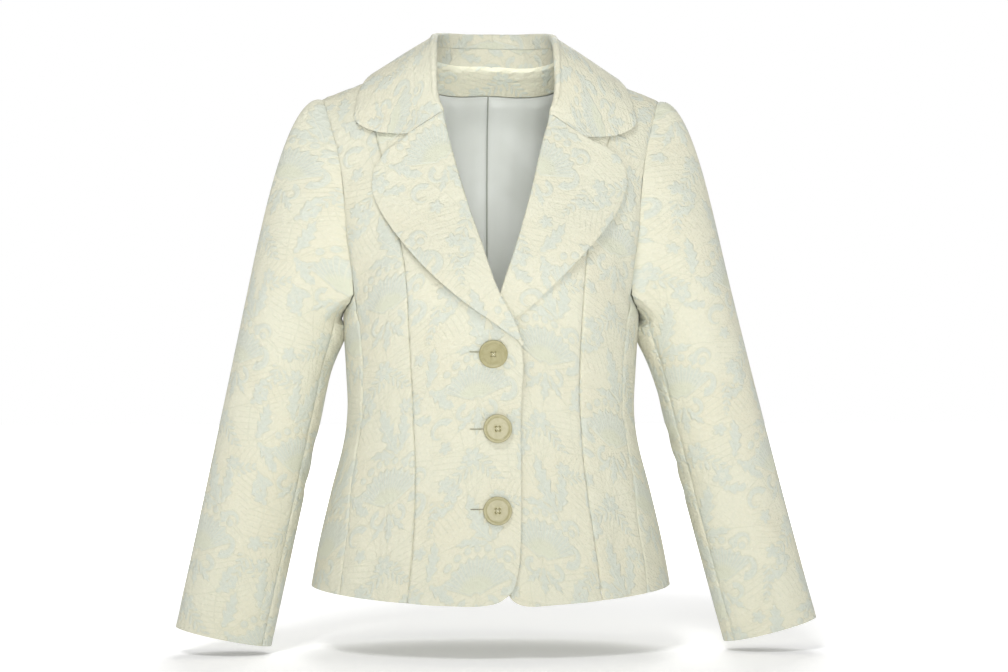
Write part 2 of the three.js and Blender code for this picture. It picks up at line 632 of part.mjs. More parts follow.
// Neck seam, fold and frame of the collar at a station, 0 at the gorge and the last one behind
function collarStation(at, side) {
  const row = rowAt(COLLAR, 'at', at);
  const neckX = NECK_SHIFT + side * row.neckX;
  const neck = dropPoint(neckX, row.neckDrop, -WALL / 2);
  const fold = vector(NECK_SHIFT + side * row.foldX, row.foldY, row.foldZ);
  const ahead = rowAt(COLLAR, 'at', Math.min(COLLAR_BACK, at + 0.1));
  const behind = rowAt(COLLAR, 'at', Math.max(0, at - 0.1));
  const along = vector(
    side * (ahead.foldX - behind.foldX),
    ahead.foldY - behind.foldY,
    ahead.foldZ - behind.foldZ,
  );
  const seamAhead = placeOf(NECK_SHIFT + side * ahead.neckX, ahead.neckDrop, ahead.neckDrop < 0, side);
  const seamHere = placeOf(neckX, row.neckDrop, row.neckDrop < 0, side);
  const flat = Math.max(0, 1 - at) ** 2;
  const rise = fold.clone().sub(neck);
  const up = rise.clone().normalize();
  const { away, normal } = openingFrame(seamHere, seamAhead, side);
  up.multiplyScalar(1 - flat).addScaledVector(away, flat).normalize();
  const out = along.clone().cross(up).normalize();
  const outward = vector(neck.x - NECK_SHIFT, neck.y - 10, 20);
  if (out.dot(outward) < 0) out.negate();
  out.multiplyScalar(1 - flat).addScaledVector(normal, flat).normalize();
  const radius = at < 4
    ? mix(FOLD_RADIUS.atGorge, FOLD_RADIUS.atBack, at / 4)
    : FOLD_RADIUS.atBack;
  const height = mix(Math.max(LAPEL.rise, rise.length() - radius), LAPEL.rise, flat);
  return { row, neckX, neck, up, out, radius, height };
}

function collarRow(at, side) {
  const { row, neckX, neck, up, out, radius, height } = collarStation(at, side);
  const share = STAND.share * step(STAND.start, STAND.full, at);
  const gap = at < STAND.full ? SEAM : SEAM / 2;
  const start = neck.clone().addScaledVector(up, Math.min(height * share + gap, height + SEAM));
  const from = at > 0 ? undefined : { x: neckX, drop: row.neckDrop, lift: 2 * radius - WALL / 2 };
  return foldedRow({
    start,
    rise: Math.max(LAPEL.rise, height * (1 - share) - gap),
    up,
    out,
    radius,
    from,
    to: {
      x: NECK_SHIFT + side * row.edgeX,
      drop: row.edgeDrop,
      liftAt: () => row.lift,
    },
  });
}

function bothHalves(count, rowOf) {
  const half = count / 2;
  const grid = [];
  for (let k = 0; k <= count; k += 1) {
    const side = k <= half ? -1 : 1;
    grid.push(rowOf(1 - Math.abs(k - half) / half, side));
  }
  return grid;
}

function addCollar() {
  const grid = bothHalves(ROWS.collar, (share, side) => collarRow(COLLAR_BACK * share, side));
  const drawn = drawnGorge(drawnGorge(grid, 0, 1), ROWS.collar, ROWS.collar - 1);
  addPiece('collar', thickened(drawn, FOLDED_WALL), cloth);
}

function addCollarStand() {
  const grid = bothHalves(ROWS.collar, (share, side) => {
    const { neck, up, height } = collarStation(mix(STAND.from, COLLAR_BACK, share), side);
    const low = neck.clone().addScaledVector(up, STAND.seat);
    const high = neck.clone().addScaledVector(up, height * STAND.share - SEAM / 2);
    return [low, low.clone().lerp(high, 0.5), high];
  });
  addPiece('collar_stand', thickened(grid, WALL), facingCloth);
}

// Facing inside the back of the neck, and the lining below it
function addBackInside(name, side) {
  const under = WALL + LINING.gap;
  const top = Array.from({ length: COLUMNS.lining + 1 }, (_, j) => (
    backNeckPlace(mix(LINING.from, 1, j / COLUMNS.lining), side, FACING.depth + LINING.below)
  ));
  const edgeTop = top[0];
  const edgeX = byTurn(edgeTop.turn, edgeTop.drop).x;
  const keys = BACK_PRINCESS.slice(0, -1).map(({ x, z }) => turnAt(x - LINING.inside, z, true));
  const foot = hemAt(keys[0].turn);
  keys[0] = { turn: foot.turn, drop: foot.drop - LINING.aboveHem };
  keys.push(placeOf(edgeX + LINING.lean, edgeTop.drop + LINING.corner, true), edgeTop);
  const left = alongTurns(keys, ROWS.backPrincess, ROW_CROWDING);
  const bottom = hemBetween(left[0], { turn: Math.PI }, COLUMNS.lining).map((p) => (
    { turn: p.turn, drop: p.drop - LINING.aboveHem }
  ));
  const [high, low] = [top[COLUMNS.lining].drop, bottom[COLUMNS.lining].drop];
  const right = left.map((_, i) => (
    { turn: Math.PI, drop: mix(high, low, (1 - i / (left.length - 1)) ** ROW_CROWDING) }
  ));
  const places = patch(bottom, top, left, right).map((row) => row.map((p) => (
    { turn: p.turn * side, drop: p.drop }
  )));
  addPiece(name, bodyWall(places, () => -under, LINING.wall), liningCloth);
}

function addNeckFacing() {
  const under = WALL + FACING.gap;
  const places = [];
  for (let k = 0; k <= COLUMNS.facing; k += 1) {
    const side = k * 2 <= COLUMNS.facing ? -1 : 1;
    const share = mix(FACING.from, 1, 1 - Math.abs(2 * k / COLUMNS.facing - 1));
    const row = Array.from({ length: FACING.rows + 1 }, (_, n) => (
      backNeckPlace(share, side, FACING.depth * n / FACING.rows)
    ));
    places.push(row.map((p) => ({ turn: side < 0 ? 2 * Math.PI - p.turn : p.turn, drop: p.drop })));
  }
  addPiece('back_neck_facing', bodyWall(places, () => -under, FACING.wall), facingCloth);
}

// Sleeve: from the armhole over the cap to the upper arm, then down to the cuff
function addSleeve(name, cuff, seams) {
  const loop = [...seams.armFront.slice().reverse(), ...seams.armBack.slice(1)];
  const { side } = cuff;
  const elbow = vector(side * UPPER_ARM.x, UPPER_ARM.y, UPPER_ARM.z);
  const hand = vector(side * cuff.x, UPPER_ARM.y, cuff.z);
  const axis = hand.clone().sub(elbow).normalize();
  const outside = vector(-axis.z * side, 0, axis.x * side);
  const ringPoint = (share, angle) => {
    const centre = elbow.clone().lerp(hand, share);
    const half = mix(UPPER_ARM.half, CUFF.half, share);
    const deep = mix(UPPER_ARM.deep, CUFF.deep, share);
    centre.y += CUFF.y * share * share;
    return centre
      .addScaledVector(outside, half * Math.cos(angle))
      .add(vector(0, deep * Math.sin(angle), 0));
  };
  const loopPoints = loop.map((p) => byTurn(p.turn, p.drop));
  const last = loop.length - 1;
  const columns = loop.map((place, j) => {
    const point = loopPoints[j];
    const normal = turnNormal(place.turn, place.drop);
    const before = loopPoints[j === 0 ? last - 1 : j - 1];
    const after = loopPoints[j === last ? 1 : j + 1];
    const away = after.clone().sub(before).cross(normal).normalize().multiplyScalar(-side);
    const angle = Math.atan2(
      (point.y - SLEEVE_CENTRE.y) / SLEEVE_CENTRE.wide,
      (point.z - SLEEVE_CENTRE.z) / SLEEVE_CENTRE.high,
    );
    const top = (1 + Math.cos(angle)) / 2;
    const start = point.clone()
      .addScaledVector(away, SEAM / 2 * top)
      .addScaledVector(normal, SEAM * (1 - top));
    const heading = away.clone().multiplyScalar(top)
      .add(vector(0, 0, -CAP.fall * (1 - top)))
      .addScaledVector(normal, CAP.stand)
      .normalize();
    const end = ringPoint(0, angle);
    const reach = start.distanceTo(end);
    const curve = new THREE.CubicBezierCurve3(
      start,
      start.clone().addScaledVector(heading, CAP.start * reach),
      end.clone().addScaledVector(axis, -CAP.end * reach),
      end,
    );
    const points = [];
    for (let i = 0; i <= RINGS.cap; i += 1) points.push(curve.getPoint(i / RINGS.cap));
    for (let i = 1; i <= RINGS.arm; i += 1) points.push(ringPoint(i / RINGS.arm, angle));
    return { points, angle: angle / DEGREE };
  });
  const normals = gridNormals(columns.map((column) => column.points));
  const wrapped = gridNormals([columns[last - 1], columns[0], columns[1]].map((column) => column.points))[1];
  normals[0] = wrapped;
  normals[last] = wrapped;
  const sign = normals[0][RINGS.cap].x * side > 0 ? 1 : -1;
  const nearest = (target) => columns.reduce((best, column, j) => (
    Math.abs(column.angle - target) < Math.abs(columns[best].angle - target) ? j : best
  ), 1);
  const frontSeam = nearest(FRONT_SLEEVE_SEAM);
  const backSeam = nearest(BACK_SLEEVE_SEAM);
  const range = (from, to) => Array.from({ length: to - from + 1 }, (_, n) => from + n);
  const addStrip = (stripName, picks) => {
    const outer = picks.map((j) => columns[j].points.map((p) => p.clone()));
    const drawn = drawnRow(drawnRow(outer, 0, 1), outer.length - 1, outer.length - 2);
    const inner = drawn.map((points, n) => points.map((p, i) => (
      p.clone().addScaledVector(normals[picks[n]][i], -sign * WALL)
    )));
    addPiece(stripName, slab(drawn, inner), cloth);
  };
  addStrip(`under_sleeve_${name}`, range(frontSeam, backSeam));
  addStrip(`top_sleeve_${name}`, [...range(backSeam, last), ...range(1, frontSeam)]);
}

// Dished button with a raised rim, lying on the wearer's right front
function addButton(name, { x, z, seat }) {
  const { radius, thick, rim, slope, dish, round, sides } = BUTTON;
  const profile = [
    [0, 0], [radius - round, 0], [radius, round], [radius, thick - round], [radius - round, thick],
    [radius - rim + slope, thick], [radius - rim - slope, thick - dish], [0, thick - dish],
  ].map(([r, height]) => new THREE.Vector2(r, height));
  const drop = dropAt(x, z);
  const normal = dropNormal(x, drop);
  const centre = dropPoint(x, drop, lapLift(byDrop(x, drop)));
  let highest = 0;
  for (let n = 0; n < sides; n += 1) {
    const angle = 2 * Math.PI * n / sides;
    const edgeX = x + radius * Math.cos(angle);
    const edgeDrop = drop + radius * Math.sin(angle);
    const edge = dropPoint(edgeX, edgeDrop, lapLift(byDrop(edgeX, edgeDrop)));
    highest = Math.max(highest, edge.sub(centre).dot(normal));
  }
  const button = addPiece(name, new THREE.LatheGeometry(profile, sides), buttonResin);
  button.position.copy(centre).addScaledVector(normal, highest + seat + SEAM);
  button.quaternion.setFromUnitVectors(vector(0, 1, 0), normal);
}

for (const [name, front] of Object.entries(FRONTS)) {
  const seams = seamsOf(front.side);
  const liftOf = front.side < 0 ? lapLift : noLift;
  addFront(`front_${name}`, front, seams, liftOf);
  addLapel(`lapel_${name}`, front, liftOf);
  addSideFront(`side_front_${name}`, front.side, seams);
  addSideBack(`side_back_${name}`, seams);
  addBack(`back_${name}`, front.side, seams);
  addBackInside(`lining_back_${name}`, front.side);
  addSleeve(name, CUFFS[name], seams);
}
addCollar();
addCollarStand();
addNeckFacing();
BUTTONS.forEach((button, i) => addButton(`button_${i + 1}`, button));

export default garment;
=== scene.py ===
import bmesh
import bpy
import numpy as np
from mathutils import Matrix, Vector


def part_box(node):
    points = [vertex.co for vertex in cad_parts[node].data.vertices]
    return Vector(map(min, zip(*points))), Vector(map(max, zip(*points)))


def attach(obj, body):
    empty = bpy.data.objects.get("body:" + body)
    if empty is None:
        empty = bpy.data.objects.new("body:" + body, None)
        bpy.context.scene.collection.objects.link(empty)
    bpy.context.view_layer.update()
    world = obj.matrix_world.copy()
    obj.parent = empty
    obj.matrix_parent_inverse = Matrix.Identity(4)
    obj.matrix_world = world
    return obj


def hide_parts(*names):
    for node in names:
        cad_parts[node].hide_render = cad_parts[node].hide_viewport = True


# A fitted blazer of figured cloth. The forms repeat the solids' own measures, in millimetres,
# on finer grids; meshes are made in metres. +Z is up, the front faces -Y, +X is the wearer's left.
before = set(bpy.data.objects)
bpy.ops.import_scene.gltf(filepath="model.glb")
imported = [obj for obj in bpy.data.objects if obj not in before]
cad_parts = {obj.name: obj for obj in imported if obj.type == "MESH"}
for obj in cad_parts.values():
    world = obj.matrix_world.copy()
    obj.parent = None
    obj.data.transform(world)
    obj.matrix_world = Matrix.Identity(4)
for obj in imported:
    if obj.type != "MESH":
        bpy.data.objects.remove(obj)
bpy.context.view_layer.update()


def table(names, rows):
    """Columns of a short table, by name."""
    return dict(zip(names.split(), np.array(rows, float).T))


# Metres to a millimetre
MM = 0.001

# Cloth and seams
WALL = 1.6
FOLDED_WALL = 1.8
SEAM = 0.3
SEAM_CLOSED = 0.04

# Body form
SQUARENESS = 2.3
SHOULDER_ROLL = 90.0
ROLL_LENGTH = SHOULDER_ROLL * np.pi / 2
RIDGE_TOP = 25.4
RIDGE_SLOPE = 0.39
RIDGE_ROUND = 30.0
BUST = dict(depth=8, x=85, z=-255, wide=50, high=60)
SECTIONS = table("z half front back", [
    (-605, 202, 117, 121), (-540, 190.5, 112, 115), (-480, 176.5, 105, 103), (-430, 163.5, 99, 88),
    (-393, 159, 97, 80), (-350, 160.5, 105, 85), (-300, 163.5, 117, 96), (-265, 165.5, 118, 102),
    (-200, 178, 103, 108), (-140, 190, 82, 108), (-80, 200, 58, 98), (-20, 205, 42, 80),
    (20, 206, 38, 74),
])
HEM = dict(side=-585.5, front_dip=11.5, back_dip=4)

# Seams, as height and distance from the middle
FRONT_PRINCESS = [
    (-595, 105), (-545, 99), (-500, 94.5), (-455, 91.5), (-408, 91), (-375, 90.5), (-320, 92),
    (-270, 94.5), (-226, 99), (-119, 121), (-92, 127.5),
]
BACK_PRINCESS = [
    (-589, 108), (-540, 99), (-480, 86), (-393, 72), (-300, 84), (-200, 99), (-100, 119),
]
SIDE_SEAM = [
    (-588, 167), (-551, 162.5), (-515, 157.5), (-441, 150), (-380, 143), (-342, 142), (-300, 147),
]
PRINCESS_SHOULDER = 137
SHOULDER_END = 188
SEAM_LEAN = dict(below=-300, at_hem=10.6)

# Armhole, as turn in degrees and height
ARMHOLE_CORNER = (69, -266)
ARMHOLE_FRONT = [(68.3, -250), (66, -215), (62.1, -175), (60.2, -140), (60.3, -108), (63, -76)]
ARMHOLE_BACK = [
    (76, -277), (90, -283), (104, -278), (113.8, -260), (117.6, -225), (117.9, -180),
    (117.1, -140), (115.5, -105), (113.6, -76),
]

NECK_SHIFT = 3.5
NECK_HALF = 70
NECK_BACK_DROP = 63.8

# Front edges, hem corners, roll lines and lapel outlines, as x and height
FRONTS = {
    "right": dict(
        side=-1,
        hem=[(-59, -596.5), (-17.5, -597), (0.4, -594), (8.9, -589), (14, -585)],
        edge=[(14, -585), (18.5, -579), (23.9, -558), (26.3, -527), (27, -485), (27, -440),
              (27.2, -380), (28.5, -342), (26.4, -319.5)],
        roll=[(26.4, -319.5), (16.5, -294), (-2.5, -260), (-19.9, -207), (-31, -173.5),
              (-45.5, -123)],
        lapel=[(29, -315), (16.6, -309), (-2.6, -296), (-39.4, -271.5), (-76, -238), (-114, -188),
               (-125, -168), (-129.7, -149), (-127, -130), (-121.7, -121.4), (-114, -110.5),
               (-101.3, -103)],
        lapel_lift=[0.2, 6, 7.5, 3, 1],
    ),
    "left": dict(
        side=1,
        hem=[(67, -596.3), (36, -597.7), (25, -595.5), (17, -590.5), (13, -583)],
        edge=[(13, -583), (5, -571), (-8, -542), (-21, -505), (-26.5, -465), (-27, -430),
              (-26.5, -380), (-22, -345), (-13, -322)],
        roll=[(-13, -322), (-3.5, -295), (7.1, -265.6), (27.1, -206.8), (40.9, -161), (54, -110)],
        lapel=[(-8, -318), (0, -307), (16.5, -294), (35.6, -280.4), (77, -241), (117, -195.5),
               (131.6, -175), (141.2, -151.7), (142.8, -131.8), (135.3, -117.5), (121, -106),
               (109.5, -101.5)],
        lapel_lift=[0, 0.5, 6.5, 3.5, 1],
    ),
}

LAP = {"rise": 2.5, "from": -80, "to": -32, "top": -150, "full": -255}
CROSSING = {"rise": 3.2, "from": -60, "to": -14, "z": -295, "flat": 42, "fade": 72}
LAPEL = dict(gap=0.8, seat=0.54, rise=0.2)

# Collar from the gorge (0) to the middle of the back (8)
COLLAR = table("at neck_x neck_drop fold_x fold_y fold_z edge_x edge_drop lift", [
    (0, 61, 122, 61, -60, -74, 95.5, 132, 2.6),
    (1, 66, 90, 64, -47, -39, 109, 127, 3.4),
    (2, 68.5, 60, 64, -36, -10, 131, 116, 4.5),
    (3, 69.5, 30, 63.5, -20, 10, 151, 95, 5.5),
    (4, 70, 0, 62.5, -3, 19.5, 150, 68, 5.5),
    (5, 66, -22, 60, 14, 25.5, 141, 26, 5),
    (6, 50, -44, 47, 36, 29.5, 122, -28, 4.5),
    (7, 27, -58, 26, 53, 31.5, 70, -74, 4.5),
    (8, 0, -63.8, 0, 59, 32.5, 0, -88, 4.5),
])
COLLAR_BACK = 8
COLLAR_BEND = 210.0
STAND = {"share": 0.62, "start": 0.15, "full": 0.62, "from": 0.85, "seat": 1.0}
FOLD_RADIUS = dict(at_break=1.25, at_gorge=2.6, at_back=3.6)
FALL_EASE = 0.7

# Columns of a folded piece: its stem, the half circle of its fold, and the first well past it
STEM_COLUMNS = 5
BOW_COLUMNS = 10
FOLD_COLUMN = 20

# Sleeves
UPPER_ARM = dict(x=219, y=0, z=-288, half=54.5, deep=50)
CUFF = dict(half=53, deep=32, y=-30)
CUFFS = {"right": (-1, 293, -638), "left": (1, 307, -634)}
SLEEVE_CENTRE = dict(y=3, z=-165, wide=56, high=114)
CAP = dict(fall=0.8, stand=0.5, start=0.16, end=0.38)
FRONT_SLEEVE_SEAM = -148
BACK_SLEEVE_SEAM = 122

FACING = {"depth": 33, "wall": 1.4, "gap": 1.2, "from": 0.05}
LINING = {"wall": 1.2, "gap": 2.3, "below": 1.4, "above_hem": 18, "from": 0.12, "inside": 6,
          "corner": 45, "lean": 3}
BUTTON = dict(radius=15.3, thick=3.8, rim=3.0, dish=0.6)
BUTTONS = [(-3, -328), (2.5, -410), (2, -497)]

# Cells of the solids, which keep the finer grids on the same lines
ROWS = dict(side=17, arm_front=9, arm_back=16, back_princess=14, edge=10)
ROW_CROWDING = 1.35
TURN_REACH = 150.0


def mix(a, b, t):
    """Value a share t of the way from a to b."""
    return a + (b - a) * t


def ease(low, high, value):
    """Smooth step from 0 at low to 1 at high."""
    t = np.clip((value - low) / (high - low), 0, 1)
    return t * t * (3 - 2 * t)


def unit(v):
    """Vectors scaled to length 1."""
    return v / np.maximum(np.linalg.norm(v, axis=-1, keepdims=True), 1e-9)


def dot(a, b):
    """Dot product along the last axis, kept as a column."""
    return (a * b).sum(-1, keepdims=True)


def read(columns, key, name, place):
    """Smooth value of a column at places of the key column: a cubic through each two rows whose
    slopes are those between their neighbours."""
    k, v = columns[key], columns[name]
    last = len(k) - 1
    at = np.clip(place, k[0], k[-1])
    i = np.clip(np.searchsorted(k, at) - 1, 0, last - 1)
    low = np.maximum(np.arange(last + 1) - 1, 0)
    high = np.minimum(np.arange(last + 1) + 1, last)
    slope = (v[high] - v[low]) / (k[high] - k[low])
    span = k[i + 1] - k[i]
    t = (at - k[i]) / span
    bend = t * (1 - t) * span * ((1 - t) * slope[i] - t * slope[i + 1])
    return mix(v[i], v[i + 1], t * t * (3 - 2 * t)) + bend


def ridge(x):
    """Height of the shoulder line: a roof with a rounded top."""
    return RIDGE_TOP - RIDGE_SLOPE * np.hypot(x, RIDGE_ROUND)


def depth_of_drop(drop):
    """How far below the ridge a drop lies: round a quarter circle, then straight down."""
    drop = np.abs(drop)
    round_part = SHOULDER_ROLL * (1 - np.cos(drop / SHOULDER_ROLL))
    return np.where(drop < ROLL_LENGTH, round_part, SHOULDER_ROLL + drop - ROLL_LENGTH)


def drop_at(x, z):
    """The drop at a height, the inverse of depth_of_drop."""
    depth = np.maximum(0, ridge(x) - z)
    round_part = SHOULDER_ROLL * np.arccos(np.clip(1 - depth / SHOULDER_ROLL, -1, 1))
    return np.where(depth < SHOULDER_ROLL, round_part, ROLL_LENGTH + depth - SHOULDER_ROLL)


def body_point(share, drop, back):
    """Point of the body: a superellipse section at each height, rolled in at the shoulder by the
    sine of the drop, with a soft swell at the bust."""
    share, drop, back = np.broadcast_arrays(share, drop, back)
    half = read(SECTIONS, "z", "half", ridge(0) - depth_of_drop(drop))
    for _ in range(8):
        x = share * half
        z = ridge(x) - depth_of_drop(drop)
        half = read(SECTIONS, "z", "half", z)
    across = np.maximum(0, 1 - np.abs(share) ** SQUARENESS) ** (1 / SQUARENESS)
    roll = np.where(np.abs(drop) < ROLL_LENGTH, np.sin(drop / SHOULDER_ROLL), 1)
    bust = BUST["depth"] * np.exp(
        -((np.abs(x) - BUST["x"]) / BUST["wide"]) ** 2 - ((z - BUST["z"]) / BUST["high"]) ** 2)
    front = -(read(SECTIONS, "z", "front", z) * across + bust) * roll
    behind = read(SECTIONS, "z", "back", z) * across * roll
    return np.stack([x, np.where(back, behind, front), z], -1)


def by_turn(turn, drop):
    """Point of the body at a turn from the middle of the front and a drop: its share across is
    the sine of the turn."""
    return body_point(np.sin(turn), drop, np.cos(turn) < 0)


def by_drop(x, drop):
    """Point of the body at an x and a signed drop, which is below 0 behind."""
    half = read(SECTIONS, "z", "half", ridge(x) - depth_of_drop(drop))
    return body_point(x / half, np.abs(drop), drop < 0)


def normal_of(chart, a, b, step_a, step_b):
    """Unit normal of a chart from central differences, turned outward."""
    normal = unit(np.cross(chart(a + step_a, b) - chart(a - step_a, b),
                           chart(a, b + step_b) - chart(a, b - step_b)))
    point = chart(a, b)
    outward = np.stack([point[..., 0], point[..., 1], np.full(point.shape[:-1], 120.0)], -1)
    return np.where(dot(normal, outward) < 0, -normal, normal)


def turn_normal(turn, drop):
    """Outward normal of the body at a turn and drop."""
    return normal_of(by_turn, turn, drop, 0.002, 0.2)


def drop_point(x, drop, lift):
    """Point at a lift over the body, by x and signed drop."""
    normal = normal_of(by_drop, x, drop, 0.2, 0.2)
    return by_drop(x, drop) + normal * np.asarray(lift)[..., None]


def turn_at(x, z, back=False, side=None):
    """Place (turn, drop) of a point given by x and height."""
    x, z = np.asarray(x, float), np.asarray(z, float)
    sign = np.where(x < 0, -1.0, 1.0)
    turn = np.arcsin(np.minimum(1, np.abs(x) / read(SECTIONS, "z", "half", z)))
    turn = (np.pi - turn) * (sign if side is None else side) if back else turn * sign
    return np.stack(np.broadcast_arrays(turn, drop_at(x, z)), -1)


def turn_at_height(degrees, z):
    """Place (turn, drop) of a point given by its turn in degrees and its height."""
    turn = np.radians(degrees)
    x = np.sin(turn) * read(SECTIONS, "z", "half", z)
    return np.stack(np.broadcast_arrays(turn, drop_at(x, z)), -1)


def place_of(x, drop, back=False, side=None):
    """Place (turn, drop) of a point given by x and its drop."""
    x, drop = np.broadcast_arrays(np.asarray(x, float), np.asarray(drop, float))
    place = turn_at(x, ridge(x) - depth_of_drop(drop), back, side)
    place[..., 1] = drop
    return place


def hem_at(turn):
    """Place on the hem, which dips in the middle of the front and the back by a squared cosine."""
    dip = np.where(np.cos(turn) > 0, HEM["front_dip"], HEM["back_dip"])
    place = turn_at_height(np.degrees(np.abs(turn)), HEM["side"] - np.cos(turn) ** 2 * dip)
    return np.stack([turn, place[..., 1]], -1)


def smooth_line(keys, fine=96):
    """Centripetal Catmull-Rom curve through places: cubic pieces whose slopes come from the
    distances between the keys."""
    p = np.asarray(keys, float) * (TURN_REACH, 1)
    p = np.vstack([2 * p[0] - p[1], p, 2 * p[-1] - p[-2]])
    t = np.linspace(0, 1, fine, endpoint=False)[:, None]
    pieces = []
    for a, b, c, d in zip(p, p[1:], p[2:], p[3:]):
        d0, d1, d2 = (max(np.linalg.norm(v) ** 0.5, 1e-4) for v in (b - a, c - b, d - c))
        m1 = ((b - a) / d0 - (c - a) / (d0 + d1) + (c - b) / d1) * d1
        m2 = ((c - b) / d1 - (d - b) / (d1 + d2) + (d - c) / d2) * d1
        pieces.append(b + m1 * t + (3 * (c - b) - 2 * m1 - m2) * t ** 2
                      + (2 * (b - c) + m1 + m2) * t ** 3)
    return np.vstack(pieces + [p[-2]]) / (TURN_REACH, 1)


def even(keys):
    """Places at shares of the length of a smooth line."""
    line = smooth_line(keys)
    length = np.concatenate([[0], np.cumsum(np.linalg.norm(
        np.diff(line * (TURN_REACH, 1), axis=0), axis=1))])
    return lambda s: np.stack([np.interp(s * length[-1], length, line[:, k]) for k in (0, 1)], -1)


def by_key(keys):
    """Places at shares of the number of keys of a smooth line."""
    line = smooth_line(keys)
    index = np.linspace(0, 1, len(line))
    return lambda s: np.stack([np.interp(s, index, line[:, k]) for k in (0, 1)], -1)


def chain(*parts):
    """Edge made of parts joined end to end; each is a function, its rows and its crowding."""
    total = sum(part[1] for part in parts)

    def at(t):
        rows = np.asarray(t) * total
        places = np.zeros(rows.shape + (2,))
        start = 0
        for function, count, crowding in parts:
            here = (rows >= start - 1e-9) & (rows <= start + count + 1e-9)
            local = np.clip((rows[here] - start) / count, 0, 1)
            places[here] = function(1 - (1 - local) ** crowding)
            start += count
        return places
    return at


def between(a, b):
    """Stretch of the hem from turn a to turn b."""
    return lambda s: hem_at(mix(a, b, s))


def shoulder(from_x, to_x, back):
    """Stretch of the shoulder line, at drop 0, from one x to another."""
    return lambda s: place_of(mix(from_x, to_x, s), 0, back)


def patch(bottom, top, left, right, s, t):
    """Coons patch: the blend of the two pairs of edges less the blend of the corners."""
    low, high = bottom(s)[None], top(s)[None]
    first, last = left(t)[:, None], right(t)[:, None]
    across, up = s[None, :, None], t[:, None, None]
    corners = mix(mix(low[:, :1], low[:, -1:], across), mix(high[:, :1], high[:, -1:], across), up)
    return mix(low, high, up) + mix(first, last, across) - corners


def shares(count, tight=0.0, reach=4.0):
    """Shares from 0 to 1 that lie closer together near both ends."""
    k = np.arange(count) + 0.5
    step = 1 - tight * (np.exp(-(k / reach) ** 2) + np.exp(-((count - k) / reach) ** 2))
    return np.minimum(1, np.concatenate([[0], np.cumsum(step) / step.sum()]))


def lap_lift(p):
    """How far the wearer's right front stands out where it laps, and where the left lapel
    passes: smooth steps across times smooth steps in height."""
    lap = ease(LAP["from"], LAP["to"], p[..., 0]) * ease(LAP["top"], LAP["full"], p[..., 2])
    level = np.abs(p[..., 2] - CROSSING["z"]) - CROSSING["flat"]
    crossing = ease(CROSSING["from"], CROSSING["to"], p[..., 0])
    crossing *= 1 - ease(0, CROSSING["fade"], level)
    return LAP["rise"] * lap + CROSSING["rise"] * crossing


def no_lift(p):
    """Lift of a panel that lies on the body everywhere."""
    return np.zeros(p.shape[:-1])


# Arc length round the body at each turn and drop, for the lie of the cloth
GIRTH_TURNS = np.linspace(-np.pi, np.pi, 721)
GIRTH_DROPS = np.linspace(0, 700, 141)
_ring = by_turn(GIRTH_TURNS[None], GIRTH_DROPS[:, None] + 0.5)
_steps = np.linalg.norm(np.diff(_ring, axis=1), axis=-1)
GIRTH = np.concatenate([np.zeros((len(GIRTH_DROPS), 1)), np.cumsum(_steps, axis=1)], 1)
GIRTH -= GIRTH[:, 360:361]


def girth(turn, drop):
    """Length round the body from the middle of the front, looked up between rows and columns."""
    a = np.clip((turn + np.pi) / (2 * np.pi) * 720, 0, 719.999)
    b = np.clip(drop / 700 * 140, 0, 139.999)
    i, j = a.astype(int), b.astype(int)
    fa, fb = a - i, b - j
    return mix(mix(GIRTH[j, i], GIRTH[j, i + 1], fa),
               mix(GIRTH[j + 1, i], GIRTH[j + 1, i + 1], fa), fb)


# How far a crease bows sideways, for each square millimetre along it
CREASE_BOW = 0.0035

